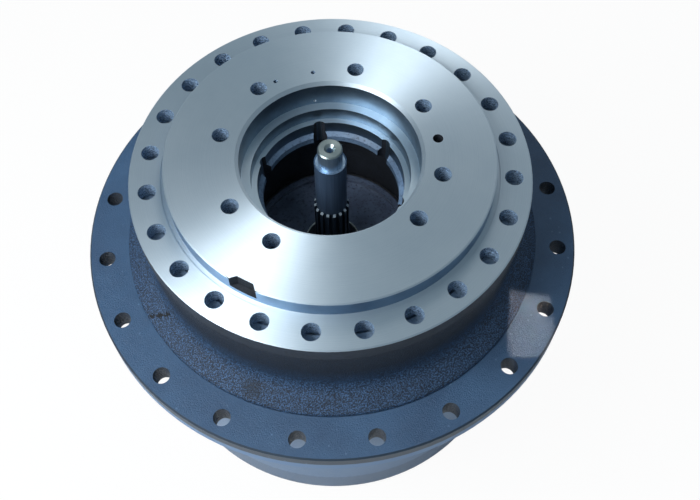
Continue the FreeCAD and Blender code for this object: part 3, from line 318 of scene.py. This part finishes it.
def mixed(made, link, share, first, second):
    """Colour that goes from the first to the second as the share goes from 0 to 1."""
    node = made.new("ShaderNodeMix")
    node.data_type = "RGBA"
    fed(link, node.inputs["Factor"], share)
    fed(link, node.inputs["A"], first)
    fed(link, node.inputs["B"], second)
    return node.outputs["Result"]


def raised(made, link, height, strength, distance):
    """Normal of a surface that the height lifts by up to the distance."""
    node = made.new("ShaderNodeBump")
    link.new(height, node.inputs["Height"])
    fed(link, node.inputs["Strength"], strength)
    node.inputs["Distance"].default_value = distance
    return node.outputs[0]


number = "NodeSocketFloat"
vector = "NodeSocketVector"
paint_colour = "NodeSocketColor"

# uneven tone: cloudy noise pulls a colour from its plain to its deep value
uneven, made, link, start, end = effect(
    "uneven tone",
    {"Plain": paint_colour, "Deep": paint_colour, "Scale": number, "Low": number, "High": number},
    {"Color": paint_colour})
cloud = noise(made, link, object_place(made), start.outputs["Scale"], detail=6.0, roughness=0.62)
share = mapped(made, link, cloud, start.outputs["Low"], start.outputs["High"])
link.new(mixed(made, link, share, start.outputs["Plain"], start.outputs["Deep"]), end.inputs["Color"])

# turning marks: noise along the distance from the axis plus the height, so every mark is a ring
turning_depth = 0.0002
turning, made, link, start, end = effect(
    "turning marks", {"Pitch": number, "Height": number}, {"Value": number, "Normal": vector})
flat = made.new("ShaderNodeVectorMath")
flat.operation = "MULTIPLY"
flat.inputs[1].default_value = (1.0, 1.0, 0.0)
reach = made.new("ShaderNodeVectorMath")
reach.operation = "LENGTH"
link.new(object_place(made), flat.inputs[0])
link.new(flat.outputs[0], reach.inputs[0])
along = calculation(made, link, "ADD", reach.outputs["Value"], object_height(made, link))
marks = made.new("ShaderNodeTexNoise")
marks.noise_dimensions = "1D"
marks.inputs["Scale"].default_value = 1.0
marks.inputs["Detail"].default_value = 3.0
link.new(calculation(made, link, "MULTIPLY", along, start.outputs["Pitch"]), marks.inputs["W"])
link.new(marks.outputs["Fac"], end.inputs["Value"])
link.new(raised(made, link, marks.outputs["Fac"], start.outputs["Height"], turning_depth),
         end.inputs["Normal"])

# cast skin: the grainy surface that the sand mould leaves, as a bump and as a mask of its pits
grain_depth = 0.0012
pits_from = 0.52
pits_full = 0.68
cast_skin, made, link, start, end = effect(
    "cast skin", {"Scale": number, "Height": number}, {"Pits": number, "Normal": vector})
grain = noise(made, link, object_place(made), start.outputs["Scale"], detail=4.0, roughness=0.7)
link.new(mapped(made, link, grain, pits_from, pits_full), end.inputs["Pits"])
link.new(raised(made, link, grain, start.outputs["Height"], grain_depth), end.inputs["Normal"])


def turned_metal(name, plain, deep, roughness, anisotropy):
    """Bright metal cut on a lathe: ring-shaped marks in its roughness and surface."""
    material, made, link, shader = new_finish(name, 1.0, roughness)
    shader.inputs["Anisotropic"].default_value = anisotropy
    shader.inputs["Anisotropic Rotation"].default_value = 0.25
    tangent = made.new("ShaderNodeTangent")
    tangent.direction_type = "RADIAL"
    tangent.axis = "Z"
    link.new(tangent.outputs[0], shader.inputs["Tangent"])
    colour = placed(made, uneven, Plain=plain, Deep=deep, Scale=9.0, Low=0.35, High=0.75)
    marks = placed(made, turning, Pitch=900.0, Height=0.12)
    rings = mapped(made, link, marks.outputs["Value"], low=0.0, high=1.0, to_low=roughness * 0.75,
                   to_high=roughness * 1.3)
    link.new(colour.outputs["Color"], shader.inputs["Base Color"])
    link.new(marks.outputs["Normal"], shader.inputs["Normal"])
    link.new(rings, shader.inputs["Roughness"])
    return material


def cast_iron(name, plain, deep, roughness, height):
    """Iron as it came from the mould, with pits darker than its deep colour."""
    material, made, link, shader = new_finish(name, 0.0, roughness)
    skin = placed(made, cast_skin, Scale=260.0, Height=height)
    colour = placed(made, uneven, Plain=plain, Deep=deep, Scale=28.0, Low=0.3, High=0.75)
    pit_colour = tuple(0.35 * v for v in deep[:3]) + (1.0,)
    pits = calculation(made, link, "MULTIPLY", skin.outputs["Pits"], 0.8)
    pitted = mixed(made, link, pits, colour.outputs["Color"], pit_colour)
    link.new(pitted, shader.inputs["Base Color"])
    link.new(skin.outputs["Normal"], shader.inputs["Normal"])
    return material


def threaded_wall(name, plain, deep):
    """Wall of a tapped hole: ridges along its height, with a fine cross grain."""
    material, made, link, shader = new_finish(name, 0.0, 0.45)
    ridges = made.new("ShaderNodeTexWave")
    ridges.bands_direction = "Z"
    for label, value in (("Scale", 125.0), ("Distortion", 9.0), ("Detail", 2.0), ("Detail Scale", 3.0)):
        ridges.inputs[label].default_value = value
    link.new(object_place(made), ridges.inputs["Vector"])
    ridge = ridges.outputs["Fac"]
    link.new(mixed(made, link, ridge, deep, plain), shader.inputs["Base Color"])
    link.new(raised(made, link, ridge, strength=0.9, distance=grain_depth), shader.inputs["Normal"])
    return material


turned_bright = turned_metal("turned iron", tone(212, 223, 232), tone(200, 213, 224), 0.57, 0.84)
bore_step = turned_metal("turned steps of the bore", tone(206, 220, 230), tone(180, 198, 214), 0.42, 0.5)
bore_wall = turned_metal("turned walls of the bore", tone(136, 156, 174), tone(62, 78, 96), 0.34, 0.6)
disc_edge = turned_metal("turned edge of the disc", tone(138, 164, 190), tone(96, 122, 150), 0.36, 0.5)
ledge_cast = cast_iron("cast ledge in the bore", tone(112, 136, 164), tone(70, 90, 116), 0.5, 0.5)
bore_cast = cast_iron("dark cast cavity", tone(34, 39, 49), tone(22, 26, 34), 0.7, 0.8)
hole_wall = threaded_wall("tapped wall", tone(168, 198, 230), tone(44, 62, 90))
# bare iron, toned light partly as painted light for the shaded lip and collar seen through the frame
# flange's holes
bare_lip_and_painted_light = cast_iron("bare hub lip with painted light", tone(170, 196, 224), tone(130, 156, 186), 0.5, 0.2)

motor_face_z = 0.482
frame_face_z = 0.460
frame_under_z = 0.437
disc_r = 0.198
collar_r = 0.200
bore_r = 0.1095
bore_chamfer_z = 0.478
bore_bottom_z = 0.394
bore_notch_top_z = 0.43
ledge_top_z = 0.4085
ledge_r = 0.0912
cavity_r = 0.116
motor_bolts_r = 0.135
motor_bolts_reach = 0.011
motor_bolts_low_z = 0.436
dowel_r = 0.1310
dowel_reach = 0.0075
dowel_low_z = 0.45
flat_turn = math.radians(231.5)
flat_from = 0.188
flat_half_width = 0.021
flat_low_z = 0.464
flat_high_z = 0.4815
disc_chamfer = 0.002
disc_edge_rise = 0.5
notch_wall_outward = 0.93
hair = 0.0005


def spindle_zone(face):
    """Finish of each face by its place and direction, in the order of the list of finishes below. The
    dowel hole is as dark as the cast parts."""
    turned, step, cast, tapped, wall, ledge, edge, collar = range(8)
    zone = np.full(len(face.z), turned)
    inside = (face.r < bore_r) & (face.z < bore_chamfer_z)
    zone[inside] = step
    zone[inside & face.upright] = wall
    zone[inside & (face.z < ledge_top_z) & (face.r < ledge_r)] = ledge
    zone[(face.r < cavity_r) & (face.z < bore_bottom_z)] = cast
    in_bolt_hole = (np.abs(face.r - motor_bolts_r) < motor_bolts_reach) & face.upright
    zone[in_bolt_hole & (face.z > motor_bolts_low_z) & (face.z < motor_face_z)] = tapped
    # the collar under the frame flange takes the bare lip finish, lightened as painted light
    zone[(face.r > collar_r) & (face.z < frame_under_z)] = collar
    in_dowel_hole = (np.hypot(face.x - dowel_r, face.y) < dowel_reach) & face.upright
    zone[in_dowel_hole & (face.z > dowel_low_z)] = cast
    steep = np.abs(face.rise) < disc_edge_rise
    zone[(face.r > disc_r - disc_chamfer) & steep & (face.z > frame_face_z + hair)] = edge
    across = -face.x * math.sin(flat_turn) + face.y * math.cos(flat_turn)
    ahead = face.x * math.cos(flat_turn) + face.y * math.sin(flat_turn)
    on_flat = (ahead > flat_from) & (ahead < disc_r) & (np.abs(across) < flat_half_width)
    on_flat &= (face.z > flat_low_z) & (face.z < flat_high_z)
    zone[on_flat & (face.r < disc_r - hair)] = cast
    outward = np.abs(face.normal[:, 0] * face.x + face.normal[:, 1] * face.y)
    in_notch = inside & (outward < notch_wall_outward * face.r) & face.upright
    zone[in_notch & (face.z < bore_notch_top_z)] = cast
    return zone


dressed("spindle", "spindle_casting", "spindle_body",
        [turned_bright, bore_step, bore_cast, hole_wall, bore_wall, ledge_cast, disc_edge, bare_lip_and_painted_light],
        spindle_zone)

# Frame flange: the outer ring of the same casting. Its face is turned with the disc's, its rim and
# its under side are dark, and 24 holes are drilled through it.
dark_rim = cast_iron("dark flange rim", tone(34, 44, 60), tone(20, 27, 38), 0.6, 0.3)
frame_bolts_r = 0.220
frame_bolts_reach = 0.0115
frame_chamfer = 0.0016
lip_inner_r = 0.2112


def frame_zone(face):
    """0 turned face, 1 walls of the holes, 2 rim and under side, 3 bare iron over the hub's lip,
    lightened as painted light.
    """
    zone = np.zeros(len(face.z), int)
    zone[face.z < frame_face_z - frame_chamfer] = 2
    in_hole = (np.abs(face.r - frame_bolts_r) < frame_bolts_reach) & face.upright
    zone[in_hole & (face.z > frame_under_z)] = 1
    zone[(face.r < lip_inner_r) & (face.z < frame_under_z)] = 3
    return zone


dressed("frame_flange", "frame_flange_ring", "spindle_body",
        [turned_bright, hole_wall, dark_rim, bare_lip_and_painted_light], frame_zone)


# Sprocket flange: the outer ring of the hub's casting, turned and painted smooth. Its rim is dark
# along the top edge and lighter below, a painted reflection of the dim surroundings above and of the
# bright floor below, and 20 holes for the sprocket's bolts go through it.
def painted(name, plain, deep, roughness, scale=6.0, coat=0.2, grain_height=0.22, low_z=None,
            low_colour=None):
    """Satin machine paint with clouds in its tone and small worn flecks; low_colour is below low_z."""
    material, made, link, shader = new_finish(name, 0.0, roughness)
    shader.inputs["Coat Weight"].default_value = coat
    shader.inputs["Coat Roughness"].default_value = 0.35
    clouds = placed(made, uneven, Plain=plain, Deep=deep, Scale=scale, Low=0.3, High=0.75)
    cells = made.new("ShaderNodeTexVoronoi")
    cells.inputs["Scale"].default_value = 60.0
    link.new(object_place(made), cells.inputs["Vector"])
    fleck = mapped(made, link, cells.outputs["Distance"], low=0.11, high=0.05, to_high=0.22)
    colour = mixed(made, link, fleck, clouds.outputs["Color"], tone(130, 158, 188))
    if low_z is not None:
        blend = 0.001
        below = mapped(made, link, object_height(made, link), low_z + blend, low_z - blend)
        colour = mixed(made, link, below, colour, low_colour)
    grain = placed(made, cast_skin, Scale=620.0, Height=grain_height)
    link.new(colour, shader.inputs["Base Color"])
    link.new(grain.outputs["Normal"], shader.inputs["Normal"])
    return material


flange_paint = painted("flange paint", tone(54, 84, 116), tone(40, 66, 96), 0.45, scale=14.0, coat=0.1,
                       grain_height=0.8)
# painted reflection on the rim: dark above this height and light below it
rim_floor_reflection_below_z = 0.311
rim_paint_and_painted_reflection = painted("flange rim paint with painted reflection", tone(34, 50, 66), tone(26, 38, 54), 0.55,
                    low_z=rim_floor_reflection_below_z, low_colour=tone(92, 124, 162))
sprocket_hole_wall = threaded_wall("sprocket hole wall", tone(46, 62, 84), tone(18, 24, 36))
flange_top_z = 0.328
sprocket_bolts_r = 0.2965
sprocket_bolts_reach = 0.0112


def flange_zone(face):
    """0 top, 1 rim and under side, 2 walls of the holes."""
    zone = np.zeros(len(face.z), int)
    zone[face.z < flange_top_z - hair] = 1
    in_hole = (np.abs(face.r - sprocket_bolts_r) < sprocket_bolts_reach) & face.upright
    zone[in_hole & (face.z < flange_top_z)] = 2
    return zone


dressed("sprocket_flange", "sprocket_flange_ring", "hub_body",
        [flange_paint, rim_paint_and_painted_reflection, sprocket_hole_wall], flange_zone)

# Hub: the neck of the casting between the two flanges. It keeps the rough skin of the mould under
# the same dark blue paint, with a crack and a dark smear on its slope, and painted shade on its wall
# under the frame flange. Its lip is bare iron, whose light tone is partly painted light.
lip_inside_low_z = 0.40


def hub_zone(face):
    """0 painted, 1 bare iron inside the lip, lightened as painted light."""
    return np.where((face.r < lip_inner_r) & (face.z > lip_inside_low_z), 1, 0)


dressed("hub", "hub_casting", "hub_body", [flange_paint, bare_lip_and_painted_light], hub_zone)


def rounded_path(corners, spacing):
    """Points along straight runs, evenly spaced. A corner with a radius becomes an arc whose centre is
    on the corner's middle line, the radius over the sine of half the corner's angle away."""
    path = []
    for place, (r, z, radius) in enumerate(corners):
        here = np.array([r, z])
        if radius == 0.0:
            path.append(here[None, :])
            continue
        before = np.array(corners[place - 1][:2]) - here
        after = np.array(corners[place + 1][:2]) - here
        before /= np.linalg.norm(before)
        after /= np.linalg.norm(after)
        half = math.acos(float(before @ after)) / 2.0
        middle = (before + after) / np.linalg.norm(before + after)
        centre = here + middle * radius / math.sin(half)
        reach = radius / math.tan(half)
        first = here + before * reach - centre
        last = here + after * reach - centre
        turns = np.linspace(0.0, 1.0, 2 + int(radius * (math.pi - 2.0 * half) / spacing))
        sweep = math.acos(float(np.clip(first @ last / radius ** 2, -1.0, 1.0)))
        arc = np.sin((1.0 - turns) * sweep)[:, None] * first + np.sin(turns * sweep)[:, None] * last
        path.append(centre + arc / math.sin(sweep))
    knots = np.vstack(path)
    lengths = np.concatenate([[0.0], np.cumsum(np.linalg.norm(np.diff(knots, axis=0), axis=1))])
    steps = np.linspace(0.0, lengths[-1], int(lengths[-1] / spacing))
    return np.stack([np.interp(steps, lengths, knots[:, 0]), np.interp(steps, lengths, knots[:, 1])],
                    axis=1)


def ripples(points, wavelength, count, seed):
    """Sum of plane waves in seeded directions with lengths near one wavelength; about -1 to 1."""
    draw = np.random.default_rng(seed)
    directions = draw.normal(size=(count, 3))
    directions /= np.linalg.norm(directions, axis=1)[:, None]
    numbers = 2.0 * math.pi / (wavelength * draw.uniform(0.6, 1.6, count))
    phases = draw.uniform(0.0, 2.0 * math.pi, count)
    total = np.zeros(points.shape[:-1])
    for way, number_of_waves, phase in zip(directions, numbers, phases):
        total += np.sin(points @ way * number_of_waves + phase)
    return total / math.sqrt(count) / 1.6


def closed_grid_faces(rows, columns):
    """Four-cornered faces of a grid of points whose last row and column join the first ones."""
    i, j = [a.ravel() for a in np.meshgrid(np.arange(rows), np.arange(columns), indexing="ij")]
    below = (i + 1) % rows
    beside = (j + 1) % columns
    return np.stack([i * columns + j, i * columns + beside, below * columns + beside,
                     below * columns + j], axis=1)


neck_lip_r = 0.2110
neck_wall_r = 0.238
neck_top_z = 0.432
slope_top_z = 0.354
foot_r = 0.267
foot_z = 0.332
skin_low_z = 0.3278
lip_round = 0.003
slope_fillet = 0.026
foot_round = 0.002
row_spacing = 0.0014
back_depth = 0.003
back_row_step = 6
neck_columns = 800
neck_path = rounded_path([
    (neck_lip_r, neck_top_z, 0.0), (neck_wall_r, neck_top_z, lip_round),
    (neck_wall_r, slope_top_z, slope_fillet), (foot_r, foot_z, foot_round),
    (foot_r, skin_low_z, 0.0)], row_spacing)
run = np.gradient(neck_path, axis=0)
run /= np.linalg.norm(run, axis=1)[:, None]
outward = np.stack([-run[:, 1], run[:, 0]], axis=1)
back_path = (neck_path - outward * back_depth)[::-1][::back_row_step]
turns = np.linspace(0.0, 2.0 * math.pi, neck_columns, endpoint=False)
around = np.stack([np.cos(turns), np.sin(turns)], axis=1)


def spun(profile):
    """Rows of a profile carried around the axis: x = r cos a, y = r sin a, z = z."""
    return np.concatenate([profile[:, None, :1] * around[None, :, :],
                           np.broadcast_to(profile[:, None, 1:], (len(profile), len(around), 1))], axis=2)


# sand grain: the skin stands 0.5 mm off the neck, with fine and coarse ripples that grow on the slope
skin_thickness = 0.0005
wall_grain = 0.00006
slope_grain = 0.00026
grain_rise_top_z = 0.385
grain_rise_height = 0.03
fine_wave = 0.0042
coarse_wave = 0.018
shell = spun(neck_path)
slope_share = np.clip((grain_rise_top_z - neck_path[:, 1]) / grain_rise_height, 0.0, 1.0)
fine_sand = ripples(shell, fine_wave, count=28, seed=3)
coarse_sand = ripples(shell, coarse_wave, count=20, seed=5)
sand = 0.45 * fine_sand + 0.55 * coarse_sand
height = skin_thickness + (wall_grain + slope_grain * slope_share)[:, None] * np.clip(sand, -1.0, 1.0)

# crack: it starts at the foot, leans as it climbs the slope, and is sunk a little and black
crack_foot_r = 0.2655
crack_low_r = 0.2660
crack_high_r = 0.2440
crack_length = 0.021
crack_top_z = 0.40
crack_foot_degrees = 201.6
crack_lean_degrees = 4.6
crack_sink = 0.0004
crack_black_from = 0.45
crack_half_width = 0.0020
crack_half_swell = 0.0010


def crack_depth(points):
    """A ragged crack up the slope: depth = e^(-(d / w)^2), d the distance from a wavering line."""
    r = np.hypot(points[..., 0], points[..., 1])
    turn = np.degrees(np.arctan2(points[..., 1], points[..., 0])) % 360.0
    share = np.clip((crack_foot_r - r) / crack_length, 0.0, 1.0)
    waver = 0.35 * np.sin(share * 19.0) + 0.2 * np.sin(share * 47.0)
    line = crack_foot_degrees + crack_lean_degrees * share + waver
    distance = np.radians(turn - line) * r
    width = crack_half_width + crack_half_swell * np.sin(share * 9.0) ** 2
    reach = (r < crack_low_r) & (r > crack_high_r) & (points[..., 2] < crack_top_z)
    return np.where(reach, np.exp(-(distance / width) ** 2), 0.0)


outer_rows = shell + spun(outward) * (height - crack_sink * crack_depth(shell))[..., None]
neck_points = np.concatenate([outer_rows, spun(back_path)])
neck_faces = closed_grid_faces(len(neck_points), neck_columns)[:, ::-1]
neck = new_piece("hub_neck_skin", neck_points.reshape(-1, 3), neck_faces, smooth_limit=60.0)

# painted shade on the neck's wall under the frame flange, fading in between these heights
wall_painted_shade_low_z = 0.362
wall_painted_shade_high_z = 0.392
smear_place = (-0.1313, -0.2186, 0.343)
smear_edge = 0.016
smear_core = 0.005


def rough_paint(name, light, plain, dark):
    """Paint over sand-cast iron: light grains and dark pits, painted shade on the wall above the slope,
    one smear.
    """
    material, made, link, shader = new_finish(name, 0.0, 0.5)
    skin = placed(made, cast_skin, Scale=640.0, Height=1.0)
    grain = noise(made, link, object_place(made), scale=700.0, detail=2.0)
    colour = mixed(made, link, mapped(made, link, grain, low=0.45, high=0.62), plain, light)
    # painted shade: the wall under the frame flange grows dark above the slope
    wall = mapped(made, link, object_height(made, link), wall_painted_shade_low_z, wall_painted_shade_high_z)
    colour = mixed(made, link, calculation(made, link, "MULTIPLY", wall, 0.8), colour, dark)
    pits = calculation(made, link, "MULTIPLY", skin.outputs["Pits"], 0.85)
    colour = mixed(made, link, pits, colour, dark)
    from_smear = made.new("ShaderNodeVectorMath")
    from_smear.operation = "DISTANCE"
    from_smear.inputs[1].default_value = smear_place
    link.new(object_place(made), from_smear.inputs[0])
    smear = mapped(made, link, from_smear.outputs["Value"], smear_edge, smear_core, to_high=0.6)
    link.new(mixed(made, link, smear, colour, dark), shader.inputs["Base Color"])
    link.new(skin.outputs["Normal"], shader.inputs["Normal"])
    return material


neck_paint = rough_paint("rough neck paint", tone(64, 96, 134), tone(14, 26, 44), tone(9, 13, 21))
crack_black = cast_iron("crack in the casting", tone(12, 15, 22), tone(8, 10, 15), 0.8, 0.3)
for finish in (neck_paint, bare_lip_and_painted_light, crack_black):
    neck.data.materials.append(finish)
middles = neck_points.reshape(-1, 3)[neck_faces].mean(axis=1)
neck_zone = np.where(middles[:, 2] > neck_top_z - hair, 1, 0)
neck_zone[crack_depth(middles) > crack_black_from] = 2
neck.data.polygons.foreach_set("material_index", neck_zone.astype(np.int32))
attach(neck, "hub_body")

# Ring gear: a turned ring between hub and cover, painted on the outside. Its teeth and its
# threads stay bare, dark with oil.
ring_paint = painted("ring gear paint", tone(78, 112, 148), tone(66, 98, 134), 0.38)
bare_gear = turned_metal("oiled gear steel", tone(120, 122, 126), tone(90, 92, 98), 0.35, 0.0)
barrel_painted_from_r = 0.2635


def ring_zone(face):
    """0 painted outside, 1 bare teeth and faces."""
    return np.where(face.r > barrel_painted_from_r, 0, 1)


dressed("ring_gear", "ring_gear_barrel", "hub_body", [ring_paint, bare_gear],
        ring_zone)

# Cover: the cast lower shell with a turned edge, painted with the ring gear. Twelve plated bolts
# and three oil plugs with hexagon sockets are under it.
cover_paint = painted("cover paint", tone(72, 98, 128), tone(54, 78, 106), 0.42)
cover_inside = cast_iron("cover inside", tone(60, 62, 66), tone(36, 38, 42), 0.6, 0.6)
cover_floor_z = 0.0145


def cover_zone(face):
    """0 painted outside, 1 bare inside."""
    return np.where((face.z > cover_floor_z) & (face.r < barrel_painted_from_r), 1, 0)


dressed("cover", "cover_shell", "hub_body", [cover_paint, cover_inside], cover_zone)


def plain_metal(name, plain, deep, roughness, grain=600.0, height=0.1, metallic=1.0):
    """Metal with cloudy tone and a fine grain that doesn't follow the axis."""
    material, made, link, shader = new_finish(name, metallic, roughness)
    colour = placed(made, uneven, Plain=plain, Deep=deep, Scale=60.0, Low=0.35, High=0.7)
    skin = placed(made, cast_skin, Scale=grain, Height=height)
    link.new(colour.outputs["Color"], shader.inputs["Base Color"])
    link.new(skin.outputs["Normal"], shader.inputs["Normal"])
    return material


def kept(names, finish):
    """CAD pieces whose shape is right keep it and get the finish."""
    for name in names:
        nodes[name].data.materials.clear()
        nodes[name].data.materials.append(finish)


plated = plain_metal("zinc plating", tone(150, 154, 162), tone(112, 118, 128), 0.38)
kept(["cover_bolts", "cover_plugs"], plated)


# Sun shaft: hardened steel with a bright plain boss and a centre hole on top, a dark oiled body
# and a splined length whose chamfered ends are pale as a painted glint.
def oiled_steel(name, plain, deep, roughness, metallic):
    """Oiled steel with faint painted highlight streaks along the axis, partly dull so that it shows in
    the deep bore.
    """
    material, made, link, shader = new_finish(name, metallic, roughness)
    stretch = made.new("ShaderNodeMapping")
    stretch.inputs["Scale"].default_value = (420.0, 420.0, 12.0)
    link.new(object_place(made), stretch.inputs["Vector"])
    # streaks along the axis in the colour: painted highlights
    painted_highlight_streak = noise(made, link, stretch.outputs[0], scale=1.0, detail=3.0)
    skin = placed(made, cast_skin, Scale=600.0, Height=0.1)
    link.new(mixed(made, link, painted_highlight_streak, deep, plain), shader.inputs["Base Color"])
    link.new(skin.outputs["Normal"], shader.inputs["Normal"])
    return material


boss_top = turned_metal("bright boss face", tone(160, 170, 168), tone(118, 132, 138), 0.34, 0.5)
boss_side = oiled_steel("boss side", tone(176, 200, 222), tone(96, 116, 140), 0.3, 0.8)
shaft_metal = oiled_steel("dark shaft steel", tone(84, 104, 130), tone(42, 56, 76), 0.4, 0.3)
spline_steel = oiled_steel("dark spline steel", tone(52, 66, 84), tone(24, 34, 48), 0.4, 0.3)
# pale, mostly dull chamfers: a painted glint on the spline's ends
spline_chamfer_painted_glint = plain_metal("spline chamfer with painted glint", tone(176, 190, 200), tone(130, 144, 156), 0.3,
                         metallic=0.2)
boss_face_z = 0.4905
boss_side_low_z = 0.4649
centre_hole_r = 0.004
spline_top_z = 0.379
spline_root_r = 0.0195
spline_chamfer = 0.006
level_rise = 0.98
boss_face_rise = 0.3


def shaft_zone(face):
    """Finish of each face by its place and direction, in the order of the list of finishes below."""
    boss_face, body, chamfer, side_of_boss, spline = range(5)
    zone = np.where(face.z > boss_side_low_z, side_of_boss, body)
    zone[(face.z > boss_face_z) & (face.rise > boss_face_rise) & (face.r > centre_hole_r)] = boss_face
    zone[face.z < spline_top_z] = spline
    at_end = (face.z > spline_top_z - spline_chamfer) & (face.z < spline_top_z + hair)
    slanted = (face.rise > upright_rise) & (face.rise < level_rise)
    zone[at_end & (face.r > spline_root_r) & slanted] = chamfer
    return zone


dressed("sun_shaft", "input_shaft", "sun_shaft_body",
        [boss_top, shaft_metal, spline_chamfer_painted_glint, boss_side, spline_steel], shaft_zone)

# Second carrier: a dark cast disc splined into the spindle. Only the rim of the hole around the
# shaft is turned, and its near-white colour is a painted highlight. The first carrier below it is of the
# same oily iron.
carrier_cast = cast_iron("oily carrier iron", tone(106, 120, 146), tone(66, 76, 98), 0.28, 0.25)
# near-white colour of the turned rim: a painted highlight deep in the bore's shade
carrier_rim_painted_highlight = cast_iron("carrier rim with painted highlight", tone(244, 248, 248), tone(226, 232, 234), 0.35, 0.05)
carrier_rim_z = 0.2815
carrier_rim_r = 0.0377


def carrier_zone(face):
    """0 as cast, 1 the turned edge of the hole, its near-white colour a painted highlight."""
    rim = (face.z > carrier_rim_z) & (face.r < carrier_rim_r) & (face.rise > upright_rise)
    return np.where(rim, 1, 0)


dressed("carrier_2", "second_carrier", "spindle_body", [carrier_cast, carrier_rim_painted_highlight],
        carrier_zone)
kept(["carrier_1"], carrier_cast)

# Inner parts: ground bearing steel, oiled gears and pins, bronze washers and black rubber rings,
# all closed in behind the casting and seen only when the drive is opened.
ground = plain_metal("ground bearing steel", tone(188, 192, 198), tone(160, 164, 172), 0.22,
                     grain=900.0, height=0.05)
bronze = plain_metal("bearing bronze", tone(186, 148, 92), tone(150, 112, 64), 0.35)
oiled = plain_metal("oiled steel", tone(126, 128, 132), tone(92, 94, 100), 0.34)
rubber, made, link, shader = new_finish("black rubber", 0.0, 0.7)
colour = placed(made, uneven, Plain=tone(34, 34, 36), Deep=tone(20, 20, 22), Scale=80.0, Low=0.3,
                High=0.7)
grain = placed(made, cast_skin, Scale=700.0, Height=0.15)
link.new(colour.outputs["Color"], shader.inputs["Base Color"])
link.new(grain.outputs["Normal"], shader.inputs["Normal"])
finished_above = {"spindle", "frame_flange", "hub", "sprocket_flange", "ring_gear", "cover",
                  "cover_bolts", "cover_plugs", "sun_shaft", "carrier_2", "carrier_1"}
for name in sorted(set(nodes) - finished_above):
    if "rubber" in name or "o_ring" in name:
        kept([name], rubber)
    elif "thrust" in name:
        kept([name], bronze)
    elif name.startswith(("bearing_", "seal_ring", "planet_bearing")) and "cage" not in name:
        kept([name], ground)
    else:
        kept([name], oiled)
